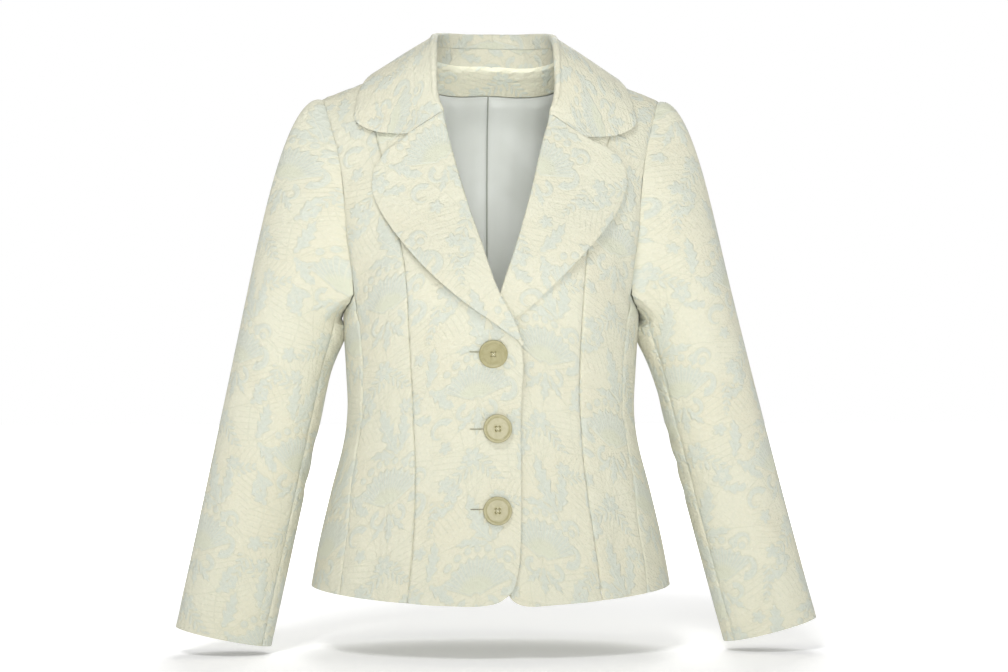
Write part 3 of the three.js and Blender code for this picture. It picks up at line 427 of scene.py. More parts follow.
# Soft creases, listed one by one. Columns: middle x and height, lean from upright in degrees, half
# length, half width, depth (troughs below 0), and 1 in front or -1 behind
CREASES = table("x z lean long wide depth face", [
    (-118, -372, 74, 34, 8, -1.6, 1), (-128, -398, 80, 28, 7, -1.9, 1),
    (-112, -424, 84, 36, 9, -1.3, 1), (-70, -392, 86, 22, 7, -0.8, 1),
    (-140, -446, 70, 24, 8, -1.1, 1), (-60, -470, 8, 60, 12, 0.9, 1),
    (-124, -520, 6, 58, 11, -1.7, 1), (-92, -548, -4, 44, 10, 1.4, 1),
    (-40, -552, 5, 40, 13, -1.2, 1), (-150, -560, 10, 34, 9, 1.8, 1),
    (-146, -300, 30, 30, 8, -1.8, 1), (-150, -272, 42, 24, 7, -1.4, 1),
    (-138, -236, 20, 34, 9, -1.3, 1), (-148, -180, 12, 36, 9, 1.2, 1),
    (-150, -130, 18, 30, 10, -1.0, 1), (120, -368, -76, 30, 8, -1.7, 1),
    (132, -392, -82, 30, 7, -1.8, 1), (108, -416, -86, 34, 9, -1.2, 1),
    (76, -400, 88, 20, 7, -0.8, 1), (140, -440, -68, 26, 8, -1.2, 1),
    (60, -482, -6, 54, 12, 1.0, 1), (136, -512, -8, 56, 11, -1.6, 1),
    (104, -552, 4, 42, 10, 1.3, 1), (58, -556, -4, 38, 12, -1.3, 1),
    (160, -556, -12, 32, 9, 1.7, 1), (148, -296, -34, 30, 8, -1.7, 1),
    (152, -268, -44, 24, 7, -1.5, 1), (140, -230, -18, 36, 9, -1.2, 1),
    (150, -176, -10, 34, 9, 1.1, 1), (154, -128, -20, 28, 10, -1.1, 1),
    (10, -356, 60, 16, 6, -0.7, 1), (12, -436, 70, 18, 6, -0.8, 1), (8, -528, 62, 20, 7, -0.8, 1),
    (-118, -380, -76, 32, 8, -1.8, -1), (-96, -402, -84, 34, 8, -1.6, -1),
    (-60, -388, 86, 24, 7, -1.1, -1), (64, -394, -86, 26, 8, -1.2, -1),
    (104, -384, 80, 34, 8, -1.7, -1), (120, -410, 76, 30, 8, -1.5, -1),
    (-30, -372, 84, 22, 7, -0.9, -1), (34, -414, -84, 24, 7, -0.9, -1),
    (-120, -530, -6, 56, 12, -1.9, -1), (-60, -540, 4, 52, 13, 1.5, -1),
    (52, -544, -5, 54, 13, 1.4, -1), (118, -528, 7, 56, 12, -1.8, -1),
    (-140, -210, 16, 44, 10, -1.6, -1), (-118, -160, 24, 40, 11, 1.3, -1),
    (138, -206, -18, 44, 10, -1.5, -1), (116, -156, -22, 40, 11, 1.2, -1),
    (-20, -80, 70, 30, 9, -0.8, -1), (24, -96, -72, 30, 9, -0.8, -1),
])


def creases(p, normal):
    """Sum of long soft hollows and ridges: each is a bell across and a wider bell along."""
    total = np.zeros(p.shape[:-1])
    face = np.where(p[..., 1] < 0, 1.0, -1.0)
    for x, z, lean, long, wide, depth, where in zip(*CREASES.values()):
        a = np.radians(lean)
        dx, dz = p[..., 0] - x, p[..., 2] - z
        along = dx * np.sin(a) + dz * np.cos(a)
        across = dx * np.cos(a) - dz * np.sin(a) + CREASE_BOW * along ** 2
        near = ease(0.0, 0.5, where * face * np.abs(normal[..., 1]))
        total += depth * near * np.exp(-(along / long) ** 2 - (across / wide) ** 2)
    return total


def pucker(run, phase):
    """Uneven small gathers along a seam: three waves of different length, one of them slow."""
    return (np.sin(run / 1.9 + phase) * (0.6 + 0.4 * np.sin(run / 11.3 + 2.1 * phase))
            + 0.7 * np.sin(run / 3.3 + 1.7 * phase))


def lengths(points, axis):
    """Running length along the rows (axis 1) or columns (axis 0) of a grid."""
    step = np.linalg.norm(np.diff(points, axis=axis), axis=-1)
    pad = [(0, 0), (0, 0)]
    pad[axis] = (1, 0)
    return np.cumsum(np.pad(step, pad), axis)


def seam_relief(points, seams, phase, armhole=None):
    """Cloth dips at a seam and gathers a little beside it; seams names the sewn edges of a grid
    and how deep each lies, and armhole the one whose upper part is sewn to a sleeve."""
    across, up = lengths(points, 1), lengths(points, 0)
    edges = dict(first=(across, up), last=(across[:, -1:] - across, up),
                 low=(up, across), high=(up[-1:] - up, across))
    total = np.zeros(points.shape[:-1])
    for n, (name, deep) in enumerate(seams.items()):
        away, run = edges[name]
        sewn_flat = deep * (1.5 * np.exp(-(away / 0.9) ** 2) + 0.55 * np.exp(-(away / 4.0) ** 2))
        if name == armhole:
            low = ease(-262, -276, points[..., 2]) if name == "first" else 0.0
            total -= mix(armhole_dip(away), sewn_flat, low) + armpit_dip(points[..., 2], away)
        else:
            total -= sewn_flat
        total += 0.3 * deep * pucker(run, phase + n) * np.exp(-(away / 6.5) ** 2)
    return total


def armhole_dip(away):
    """How the cloth sinks along the armhole seam, the same on both of its sides."""
    return 0.7 * np.exp(-(away / 1.2) ** 2) + 0.5 * np.exp(-(away / 5.0) ** 2)


def armpit_dip(z, away):
    """Hollow that deepens the armhole seam above its low corner."""
    return 3.0 * np.exp(-((z + 240) / 40) ** 2) * np.exp(-(away / 8.0) ** 2)


def grid_normals(points, outward):
    """Unit normals of a grid from central differences, on the side of a given direction."""
    normal = unit(np.cross(np.gradient(points, axis=0), np.gradient(points, axis=1)))
    return np.where(dot(normal, outward) < 0, -normal, normal)


def area_of(points):
    """Sum of the areas of the two triangles of each cell."""
    a, b, c, d = points[:-1, :-1], points[:-1, 1:], points[1:, 1:], points[1:, :-1]
    return 0.5 * (np.linalg.norm(np.cross(b - a, c - a), axis=-1)
                  + np.linalg.norm(np.cross(c - a, d - a), axis=-1)).sum()


def cells(rows, columns):
    """Four corners of each cell of a grid whose points are numbered row by row."""
    index = np.arange(rows * columns).reshape(rows, columns)
    corners = [index[:-1, :-1], index[:-1, 1:], index[1:, 1:], index[1:, :-1]]
    return np.stack(corners, -1).reshape(-1, 4)


def grid_mesh(name, points, lie, outward):
    """Mesh of a grid of points, faces turned to the outward side, with the cloth's lie as UV."""
    quads = cells(*points.shape[:2])
    turned = np.cross(points[:-1, 1:] - points[:-1, :-1], points[1:, :-1] - points[:-1, :-1])
    if (turned * outward[:-1, :-1]).sum() < 0:
        quads = quads[:, ::-1]
    mesh = bpy.data.meshes.new(name)
    mesh.from_pydata((points.reshape(-1, 3) * MM).tolist(), [], quads.tolist())
    layer = mesh.uv_layers.new(name="cloth")
    layer.data.foreach_set("uv", (lie.reshape(-1, 2)[quads.ravel()] * 0.01).ravel())
    mesh.polygons.foreach_set("use_smooth", np.ones(len(quads), bool))
    mesh.update()
    piece = bpy.data.objects.new(name, mesh)
    bpy.context.scene.collection.objects.link(piece)
    return piece


def cloth_piece(name, points, lie, outward, wall, offset, material,
                across=(1, 1, 1)):
    """A sheet of cloth: the grid with its wall, a rounded rim and its place.

    It works out the longest line across the grid, counting only the directions that
    `across` holds, and the area of the grid, but uses neither.
    """
    piece = grid_mesh("cloth_" + name, points, lie, outward)
    piece.data.materials.append(material)
    solid = piece.modifiers.new("wall", "SOLIDIFY")
    solid.thickness = wall * MM
    solid.offset = offset
    solid.use_even_offset = False
    rim = piece.modifiers.new("rim", "BEVEL")
    rim.width = 0.00045
    rim.segments = 2
    rim.limit_method = "ANGLE"
    rim.angle_limit = np.radians(55)
    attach(piece, "root")
    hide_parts(name)
    width = lengths(points * across, 1)[:, -1].max() * MM
    area = area_of(points) * 1e-6
    return piece


def math_node(look, operation, *inputs):
    """Value of a Math node fed by numbers and values in their order."""
    node = look.node("ShaderNodeMath", dict(operation=operation), dict(enumerate(inputs)))
    return Value(look, node.outputs[0])


class Value:
    """A number that changes over the surface; arithmetic on it adds the Math nodes."""

    def __init__(self, look, socket):
        self.look, self.socket = look, socket

    def math(self, operation, *others):
        """Value of a Math node fed by this value first."""
        return math_node(self.look, operation, self, *others)

    def __add__(self, other): return self.math("ADD", other)
    def __radd__(self, other): return self.math("ADD", other)
    def __sub__(self, other): return self.math("SUBTRACT", other)
    def __rsub__(self, other): return math_node(self.look, "SUBTRACT", other, self)
    def __mul__(self, other): return self.math("MULTIPLY", other)
    def __rmul__(self, other): return self.math("MULTIPLY", other)
    def __truediv__(self, other): return self.math("DIVIDE", other)
    def __pow__(self, other): return self.math("POWER", other)
    def __abs__(self): return self.math("ABSOLUTE")
    def scaled(self, factor, term): return self.math("MULTIPLY_ADD", factor, term)
    def floor(self): return self.math("FLOOR")
    def fract(self): return self.math("FRACT")
    def sin(self): return self.math("SINE")
    def cos(self): return self.math("COSINE")
    def root(self): return self.math("SQRT")
    def most(self, other): return self.math("MAXIMUM", other)
    def least(self, other): return self.math("MINIMUM", other)

    def step(self, low, high):
        """Smooth step from 0 at low to 1 at high; a falling one has low above high."""
        settings = dict(interpolation_type="SMOOTHSTEP")
        if low < high:
            inputs = {"Value": self, "From Min": low, "From Max": high}
            node = self.look.node("ShaderNodeMapRange", settings, inputs)
            return Value(self.look, node.outputs[0])
        return 1.0 - self.step(high, low)


class Look:
    """A material of its own nodes on one Principled shader."""

    def __init__(self, name):
        self.material = bpy.data.materials.new(name)
        self.material.use_nodes = True
        self.tree = self.material.node_tree
        self.shader = self.tree.nodes["Principled BSDF"]

    def node(self, kind, settings=None, inputs=None):
        """New node: its settings first, then the values or links of its sockets."""
        node = self.tree.nodes.new(kind)
        for key, value in (settings or {}).items():
            setattr(node, key, value)
        for key, value in (inputs or {}).items():
            if isinstance(value, Value):
                self.tree.links.new(value.socket, node.inputs[key])
            elif isinstance(value, bpy.types.NodeSocket):
                self.tree.links.new(value, node.inputs[key])
            else:
                node.inputs[key].default_value = value
        return node

    def blend(self, share, first, second):
        """Colour that goes from the first to the second as the share goes from 0 to 1."""
        inputs = {0: share, 6: first, 7: second}
        return self.node("ShaderNodeMix", dict(data_type="RGBA"), inputs).outputs[2]

    def noise(self, place, scale, detail=2.0, roughness=0.5, distortion=0.0):
        """Value of a noise texture at a place."""
        inputs = {"Vector": place, "Scale": scale, "Detail": detail, "Roughness": roughness,
                  "Distortion": distortion}
        return Value(self, self.node("ShaderNodeTexNoise", None, inputs).outputs[0])

    def finish(self, colour, roughness, height=None, distance=0.001, strength=1.0, constants=None):
        """Set the shader: what changes goes to colour, roughness and normal, the rest is set."""
        for name, value in (("Base Color", colour), ("Roughness", roughness)):
            if isinstance(value, Value):
                self.tree.links.new(value.socket, self.shader.inputs[name])
            elif isinstance(value, bpy.types.NodeSocket):
                self.tree.links.new(value, self.shader.inputs[name])
            else:
                self.shader.inputs[name].default_value = value
        if height is not None:
            inputs = {"Height": height, "Distance": distance, "Strength": strength}
            bump = self.node("ShaderNodeBump", None, inputs)
            self.tree.links.new(bump.outputs[0], self.shader.inputs["Normal"])
        for name, value in (constants or {}).items():
            self.shader.inputs[name].default_value = value
        return self.material


def colour(red, green, blue):
    """Scene colour of an sRGB value from 0 to 255."""
    c = np.array([red, green, blue]) / 255
    return (*np.where(c <= 0.04045, c / 12.92, ((c + 0.055) / 1.055) ** 2.4), 1.0)


# The figured cloth's repeat: columns of shells that lie half a repeat lower in every second column
COLUMN = 100.0
REPEAT = 206.0
SHELL_RADIUS = 42.0
SHELL_RIBS = 27.0
BERRY_STEP = 0.232


def turned_from(p, q, at, c, s):
    """Distance from a point along a direction (c, s), as two multiply-add nodes."""
    return q.scaled(s, p.scaled(c, -(at[0] * c + at[1] * s)))


def length_of(x, y):
    """Root of the sum of two squares."""
    return y.scaled(y, x * x).root()


def leaf(p, q, at, aim, long, wide, bend=0.0, lobes=0):
    """Distance inside a leaf: its half width is a power of the parabola along its bent axis, less
    what its lobes cut in by a cosine."""
    c, s = np.cos(np.radians(aim)), np.sin(np.radians(aim))
    x = turned_from(p, q, at, c / long, s / long)
    y = turned_from(p, q, at, -s, c)
    if bend:
        y = (x * x).scaled(-bend, y)
    side = abs(y)
    t = x.most(0.0).least(1.0)
    half = (t * (1.0 - t)) ** 0.7 * (4.0 ** 0.7 * wide)
    if lobes:
        wave = side.scaled(-2 * np.pi / (wide * 1.6), x * (2 * np.pi * lobes)).cos()
        half = half * wave.scaled(0.22, 0.78)
    return half - side


def scroll(p, q, at, radius, start, sweep, wide, grow=0.0):
    """Distance inside a curl: an arc whose radius grows along its sweep and which tapers away."""
    x, y = p - at[0], q - at[1]
    a, b = np.cos(np.radians(start)), np.sin(np.radians(start))
    turn = (y.scaled(a, x * -b).math("ARCTAN2", x.scaled(a, y * b)) / (2 * np.pi)).fract()
    rate = 360.0 / abs(sweep)
    turn = turn * rate if sweep > 0 else turn.scaled(-rate, rate)
    t = turn.least(1.0)
    away = abs(length_of(x, y) - t.scaled(grow, radius))
    return (turn - 1.0).most(0.0).scaled(-9.0, (1.0 - t) ** 0.6 * wide - away)


def rosette(p, q, at, radius, petals, turned=0.0):
    """Distance inside a flower: its radius swells and shrinks with a cosine of the angle."""
    x, y = p - at[0], q - at[1]
    angle = y.math("ARCTAN2", x)
    edge = abs(angle.scaled(petals / 2.0, turned).cos()).scaled(0.4 * radius, 0.6 * radius)
    return edge - length_of(x, y)


def spray(p, q, at, aim, long, pitch, blade):
    """Distance inside pairs of small leaves, repeated along a stem."""
    c, s = np.cos(np.radians(aim)), np.sin(np.radians(aim))
    x = turned_from(p, q, at, c, s)
    side = abs(turned_from(p, q, at, -s, c))
    taper = x.most(0.0).scaled(-1.0 / (1.4 * long), 1.0)
    t = (side / (taper.most(0.2) * blade)).least(1.0)
    along = side.scaled(-0.9 / pitch, x / pitch).fract() - 0.5
    leaves = abs(along).scaled(-pitch, (t * (1.0 - t)).root() * (0.72 * pitch))
    stem = 0.9 - side
    inside = (x.least(long - x)) * 0.6
    return leaves.most(stem).least(inside)


def figured(look):
    """Masks of the figured weave on the cloth's lie: figure, light veins in it, and shell core."""
    lie = look.node("ShaderNodeUVMap", dict(uv_map="cloth")).outputs[0]
    parts = look.node("ShaderNodeSeparateXYZ", None, {0: lie})
    waver = look.noise(lie, 2.2, 1.0)
    u = Value(look, parts.outputs[0]) * 100.0 + (waver - 0.5) * 9.0
    v = Value(look, parts.outputs[1]) * 100.0 + (waver - 0.5) * 7.0
    column = (u / COLUMN).floor()
    odd = abs(column.math("MODULO", 2.0))
    p = ((u / COLUMN).fract() - 0.5) * COLUMN * (1.0 - odd * 2.0)
    q = ((v / REPEAT + odd * 0.5).fract() - 0.5) * REPEAT
    m = abs(p)

    # Shell with its ribs, side curls, base and the row of berries over it
    low = q + 20.0
    reach = length_of(p, low)
    angle = p.math("ARCTAN2", low)
    rim = SHELL_RADIUS + 1.8 * (angle * SHELL_RIBS).cos()
    shell = (rim - reach).least((1.12 - abs(angle)) * reach).least(reach - 5.0)
    ribs = (angle * SHELL_RIBS).sin().math("ABSOLUTE").step(0.86, 0.97) * reach.step(13.0, 20.0)
    core = reach.step(27.0, 19.0) * shell.step(0.5, 3.0)
    spot = (angle / BERRY_STEP + 0.5).fract() - 0.5
    ring = reach - 50.5
    round_ = length_of(ring, spot * reach * BERRY_STEP)
    berries = (4.4 - round_).least((0.82 - abs(angle)) * 40.0)
    pips = round_.step(1.9, 1.2)
    curls = scroll(m, q, (31.0, -4.0), 11.5, -110.0, 250.0, 5.2, -5.0)
    hooks = scroll(m, q, (14.0, -30.0), 8.0, 100.0, -250.0, 4.0, -3.0)
    foot = leaf(p, q, (0, -26), -90, 30, 6.5, 0, 3).most(leaf(m, q, (4, -28), -58, 26, 5.2, 4, 3))

    # Plume over the shell, and flowers with their leaves between the shells
    plume = leaf(p, q, (16, 36), 128, 58, 11.5, -13, 5).most(
        leaf(p, q, (18, 38), 72, 40, 8.5, 10, 4))
    plume = plume.most(leaf(p, q, (12, 34), 160, 36, 7.0, 8, 3))
    vein = abs(p - 16.0 + (q - 36.0) * 0.78).step(1.1, 0.4)
    flowers = rosette(p, q, (-26, 96), 11.5, 5, 0.3).most(rosette(p, q, (24, 84), 9.0, 6, 0.8))
    flowers = flowers.most(rosette(p, q, (-4, -78), 12.5, 6, 0.2)).most(
        rosette(p, q, (-34, -60), 8.0, 5, 1.1))
    hearts = rosette(p, q, (-26, 96), 4.4, 5, 0.3).most(rosette(p, q, (-4, -78), 4.8, 6, 0.2))
    hearts = hearts.most(rosette(p, q, (24, 84), 3.4, 6, 0.8))
    leaves = spray(p, q, (-8, -86), 215, 44, 8.5, 11).most(spray(p, q, (4, -84), 318, 46, 8.0, 10))
    leaves = leaves.most(spray(p, q, (28, 76), 20, 30, 7.5, 9)).most(
        leaf(p, q, (-24, 84), 200, 30, 6.5, -6, 3))
    leaves = leaves.most(leaf(p, q, (30, -56), 30, 34, 8.0, 7, 4)).most(
        leaf(p, q, (34, -50), 75, 30, 6.5, -7, 3))

    # Tendrils and leaves that run across from column to column
    p2 = ((u / COLUMN + 0.5).fract() - 0.5) * COLUMN
    even_side = (u / COLUMN + 0.5).floor().math("MODULO", 2.0).math("ABSOLUTE")
    q2 = ((v / REPEAT + even_side * 0.5 + 0.23).fract() - 0.5) * REPEAT
    cross = leaf(p2, q2, (-6, 58), 66, 40, 9.0, 9, 4).most(
        leaf(p2, q2, (-4, 54), -36, 36, 8.0, -8, 4))
    cross = cross.most(scroll(p2, q2, (10, 6), 12.0, 30.0, 260.0, 4.4, -6.0))
    cross = cross.most(scroll(p2, q2, (-16, -34), 10.0, 200.0, -250.0, 4.0, -4.0))
    cross = cross.most(spray(p2, q2, (8, -66), 250, 38, 8.0, 9.5)).most(
        rosette(p2, q2, (14, -52), 9.0, 5))

    curling = look.noise(lie, 9.0, 2.0, 0.5, 1.2)
    tendrils = 1.1 - abs(curling - 0.5) * 34.0

    shape = shell.most(berries).most(curls).most(hooks).most(foot)
    shape = shape.most(plume).most(flowers).most(leaves).most(cross)
    figure = shape.step(-0.6, 2.0)
    outline = shape.step(-1.3, -0.3) * shape.step(0.9, 0.1)
    veins = (ribs * shell.step(0.5, 1.5)).most(pips).most(hearts.step(0.0, 0.8))
    veins = veins.most(vein * plume.step(0.5, 1.5))
    inner = (shape.step(1.7, 2.3) * shape.step(3.3, 2.7)) * 0.55
    return dict(lie=lie, parts=parts, figure=figure, outline=outline, veins=veins.most(inner),
                core=core, tendrils=tendrils.step(0.0, 0.7))


def figured_cloth(name, tone=1.0):
    """Cream ground with a grey-blue figure, its relief, crinkle and weave; a tone above 1 paints
    all its colours lighter, as painted light.
    """
    look = Look(name)
    f = figured(look)
    patchy = look.noise(f["lie"], 1.1, 3.0, 0.6)
    fine = look.noise(f["lie"], 26.0, 2.0, 0.6)

    def c(red, green, blue):
        return tuple(v * tone for v in colour(red, green, blue)[:3]) + (1.0,)
    ground = look.blend(patchy.step(0.35, 0.68), c(208, 207, 187), c(208, 205, 183))
    ground = look.blend(fine.step(0.42, 0.75) * 0.6, ground, c(214, 212, 194))
    ground = look.blend(f["tendrils"] * 0.22, ground, c(195, 198, 182))
    blue = look.blend(fine.step(0.35, 0.7), c(192, 197, 185), c(198, 203, 192))
    blue = look.blend(f["core"] * 0.8, blue, c(201, 203, 181))
    blue = look.blend(f["veins"] * 0.6, blue, c(207, 207, 189))
    shade = look.blend(f["figure"] * 0.88, ground, blue)
    shade = look.blend(f["outline"] * 0.25, shade, c(188, 189, 166))
    u, v = (Value(look, f["parts"].outputs[n]) for n in (0, 1))
    yarn = (u * 1100.0).sin() * (v * 900.0).sin()
    crinkle = look.noise(f["lie"], 6.5, 3.0, 0.55)
    height = f["figure"] * 0.26 - f["outline"] * 0.14 + f["veins"] * 0.16 + f["tendrils"] * 0.03
    height = height + crinkle * 1.7 + fine * 0.7 + yarn * 0.04
    rough = 0.66 - f["figure"] * 0.1
    return look.finish(shade, rough, height, 0.0014, 0.9, {
        "Sheen Weight": 0.12, "Sheen Roughness": 0.5, "Specular IOR Level": 0.32})


LINING_TONES = [(228, 232, 226), (236, 240, 235)]
# Dark tone of the shadow painted along the lining's middle seam
SEAM_SHADOW_TONE = (140, 142, 130)


def lining_cloth():
    """Smooth pale grey lining: fine warp lines, a soft gloss, slow shifts of tone and a painted
    shadow line along the middle seam.
    """
    look = Look("pale grey lining")
    lie = look.node("ShaderNodeUVMap", dict(uv_map="cloth")).outputs[0]
    parts = look.node("ShaderNodeSeparateXYZ", None, {0: lie})
    slow = look.noise(lie, 1.6, 2.0)
    fine = (Value(look, parts.outputs[0]) * 1400.0).sin()
    shade = look.blend(slow.step(0.3, 0.7), colour(*LINING_TONES[0]), colour(*LINING_TONES[1]))
    place = look.node("ShaderNodeTexCoord").outputs["Object"]
    along_x = look.node("ShaderNodeSeparateXYZ", None, {0: place}).outputs[0]
    across = abs(Value(look, along_x) * 1000.0)
    # A dark line painted along the middle of the back, at x = 0, is painted shadow of the middle
    # seam.
    shade = look.blend(across.step(1.1, 0.4) * 0.8, shade, colour(*SEAM_SHADOW_TONE))
    height = slow * 0.8 + fine * 0.02
    return look.finish(shade, 0.45 + slow * 0.1, height, 0.001, 0.4, {
        "Sheen Weight": 0.1, "Specular IOR Level": 0.4})



def button_resin():
    """Khaki beige resin with a faint cloudy figure, a satin gloss and fine turning marks."""
    look = Look("khaki resin")
    place = look.node("ShaderNodeTexCoord").outputs["Object"]
    cloud = look.noise(place, 95.0, 3.0, 0.6, 0.8)
    speck = look.noise(place, 700.0, 2.0)
    shade = look.blend(cloud.step(0.3, 0.7), colour(146, 140, 98), colour(160, 154, 116))
    shade = look.blend(speck.step(0.6, 0.8) * 0.3, shade, colour(172, 167, 132))
    return look.finish(shade, 0.34 + cloud * 0.14, speck, 0.0002, 0.3, {
        "Coat Weight": 0.25, "Coat Roughness": 0.3, "Specular IOR Level": 0.45})


def thread_cloth(name, first, second):
    """Twisted sewing thread: its twist shows as fine slanting bands."""
    look = Look(name)
    place = look.node("ShaderNodeTexCoord").outputs["Object"]
    twist = look.node("ShaderNodeTexWave", dict(bands_direction="DIAGONAL"),
                      {"Vector": place, "Scale": 900.0, "Distortion": 1.5})
    bands = Value(look, twist.outputs[1])
    return look.finish(look.blend(bands, colour(*first), colour(*second)), 0.7, bands, 0.0002, 0.5)


CLOTH = figured_cloth("figured cream cloth")
# The facing inside the neck gets a copy of the cloth painted 1.5 times lighter: painted light that
# offsets the shade inside the neck.
FACING_CLOTH_PAINTED_LIGHTER = figured_cloth("figured cream cloth, inside the neck", 1.5)
LINING_LOOK = lining_cloth()
RESIN = button_resin()
PALE_THREAD = thread_cloth("pale sewing thread", (196, 192, 158), (214, 210, 180))

# Where a shell of the repeat lies on each piece, as x and height in front or behind
SHELL_AT = {
    "front_right": (-20, -361), "side_front_right": (-115, -476), "side_back_right": (-150, -420),
    "back_right": (-52, -330), "front_left": (52, -324), "side_front_left": (129, -415),
    "side_back_left": (150, -380), "back_left": (52, -430),
}


def body_piece(name, places, lift, seams, phase, back=False, upright=True, armhole=None):
    """A panel on the body: its places give points on the form, moved out by its lift, by the
    creases and by the dip of its seams. The grain runs straight down, or at one turn."""
    turn, drop = places[..., 0], places[..., 1]
    point = by_turn(turn, drop)
    normal = turn_normal(turn, drop)
    base = point + normal * lift(point)[..., None]
    move = creases(point, normal) * ease(0, 30, lengths(base, 0))
    move += seam_relief(base, seams, phase, armhole)
    points = base + normal * move[..., None]
    if name == "front_right":
        inside = lengths(base, 1)[:, -1:] - lengths(base, 1)
        curl = 1.3 * np.exp(-(inside / 12) ** 2) * ease(-318, -350, point[..., 2])
        points += normal * curl[..., None]
    x, z = SHELL_AT[name]
    grain = turn_at(np.full(drop.shape, float(x)), point[..., 2] if upright else z, back)[..., 0]
    grain = np.unwrap(np.stack([turn, grain]), axis=0)[1]
    lie = np.stack([girth(turn, drop) - girth(grain, drop), -drop], -1)
    anchor = -drop_at(x, z)
    lie -= (COLUMN * -0.5, anchor - REPEAT * 0.5)
    return cloth_piece(name, points, lie, normal, WALL, -1, CLOTH, across=(1, 1, 0))


def seams_of(side):
    """The seam lines of one side as functions of a share, each from the hem up."""
    def mirrored(function):
        return lambda s: function(s) * (side, 1)
    lean = lambda z: SEAM_LEAN["at_hem"] * ease(SEAM_LEAN["below"], HEM["side"], z)
    front = [turn_at(side * x + lean(z), z) for z, x in FRONT_PRINCESS]
    front[0] = hem_at(front[0][0])
    front.append(place_of(side * PRINCESS_SHOULDER, 0))
    sides = [turn_at(x, z) for z, x in SIDE_SEAM]
    sides[0] = hem_at(sides[0][0])
    corner = turn_at_height(*ARMHOLE_CORNER)
    sides.append(corner)
    arm_front = [corner] + [turn_at_height(*row) for row in ARMHOLE_FRONT]
    arm_front.append(place_of(SHOULDER_END, 0))
    arm_back = [corner] + [turn_at_height(*row) for row in ARMHOLE_BACK]
    arm_back.append(place_of(SHOULDER_END, 0, True))
    back = [turn_at(x, z, True) for z, x in BACK_PRINCESS]
    back[0] = hem_at(back[0][0])
    back.append(place_of(PRINCESS_SHOULDER, 0, True))
    return dict(front=even(front), side=mirrored(even(sides)), arm_front=mirrored(even(arm_front)),
                arm_back=mirrored(even(arm_back)), back=mirrored(even(back)), mirrored=mirrored)


def opening_keys(front):
    """Keys of the opening's edge: the roll line from the break up, then the neck seam."""
    roll = [turn_at(x, z) for x, z in front["roll"]]
    neck = [place_of(NECK_SHIFT + front["side"] * COLLAR["neck_x"][k], COLLAR["neck_drop"][k])
            for k in range(5)]
    return roll + neck, len(roll) / (len(roll) + len(neck) - 1)


def back_neck(share, side, grow=0.0):
    """Back neck seam, an ellipse from the shoulder seam (0) to the middle of the back (1)."""
    angle = share * np.pi / 2
    x = (NECK_HALF + grow) * np.cos(angle) + NECK_SHIFT * np.cos(angle) * side
    return place_of(x, (NECK_BACK_DROP + grow) * np.sin(angle), True, 1)


def make_fronts(name, front, seams, lift, phase):
    """Front and side front of one side: patches between the hem, the seams, the shoulder and
    the front edge."""
    side = front["side"]
    keys, _ = opening_keys(front)
    rows = ROWS["side"] + ROWS["arm_front"]
    edge = even([turn_at(x, z) for x, z in front["edge"]])
    right = chain((edge, ROWS["edge"], 1), (even(keys), rows - ROWS["edge"], 1))
    bottom = even([seams["front"](np.array([0.0]))[0]] + [turn_at(x, z) for x, z in front["hem"]])
    top = shoulder(side * PRINCESS_SHOULDER, NECK_SHIFT + side * NECK_HALF, False)
    s, t = shares(52, 0.75, 3), shares(168, 0.5, 3)
    body_piece(f"front_{name}", patch(bottom, top, seams["front"], right, s, t), lift,
               dict(first=1.1, high=0.8), phase)

    left = chain((seams["side"], ROWS["side"], 1), (seams["arm_front"], ROWS["arm_front"], 1))
    ends = [left(np.array([0.0]))[0, 0], seams["front"](np.array([0.0]))[0, 0]]
    places = patch(between(*ends), shoulder(side * SHOULDER_END, side * PRINCESS_SHOULDER, False),
                   left, seams["front"], shares(34, 0.75, 3), t)
    body_piece(f"side_front_{name}", places, no_lift, dict(first=0.6, last=1.1, high=0.8),
               phase + 1.3, armhole="first")


def make_backs(name, side, seams, phase):
    """Side back and back of one side: patches between the hem, the seams, the armhole and the
    back neck."""
    first = seams["side"](np.array([0.0]))[0, 0]
    last = seams["back"](np.array([0.0]))[0, 0]
    right = chain((seams["back"], ROWS["back_princess"], ROW_CROWDING),
                  (seams["mirrored"](shoulder(PRINCESS_SHOULDER, SHOULDER_END, True)), 3, 1))
    places = patch(between(first, last), seams["arm_back"], seams["side"], right,
                   shares(64, 0.7, 3), shares(136, 0.6, 3))
    body_piece(f"side_back_{name}", places, no_lift, dict(first=0.6, last=1.1, high=1.0), phase,
               back=True, upright=False, armhole="high")

    def middle(t):
        low = hem_at(np.array([side * np.pi]))[0, 1]
        drop = mix(NECK_BACK_DROP, low, (1 - t) ** ROW_CROWDING)
        return np.stack([np.full_like(t, side * np.pi), drop], -1)
    neck_x = NECK_HALF + side * NECK_SHIFT
    top = seams["mirrored"](chain((shoulder(PRINCESS_SHOULDER, neck_x, True), 3, 1),
                                  (lambda s: back_neck(s, side), 5, 1)))
    left = chain((seams["back"], 1, ROW_CROWDING))
    places = patch(between(last, side * np.pi), top, left, middle, shares(52, 0.75, 3),
                   shares(150, 0.4, 3))
    body_piece(f"back_{name}", places, no_lift, dict(first=1.1, last=1.1, high=0.8), phase + 0.9,
               back=True)


def drape(p, side):
    """Slow upright folds of the lining, and a pleat at the middle seam: its edge on the wearer's
    left stands in front of the other."""
    x, z = p[..., 0], p[..., 2]
    slow = (1.5 * np.sin(x / 8.5 + 0.35 * np.sin(z / 70.0) + side)
            + 1.0 * np.sin(x / 17.0 + z / 160.0))
    slow = slow + 0.5 * np.sin(x / 3.7 + 0.8 * np.sin(z / 34.0)) * ease(-300, -150, z)
    pleat = np.exp(-(np.abs(x) / 7.0) ** 2) * (1.6 if side > 0 else -0.6)
    return 2.3 + slow * ease(2, 18, np.abs(x)) + pleat - 3.2 * np.exp(-(x / 0.9) ** 2)


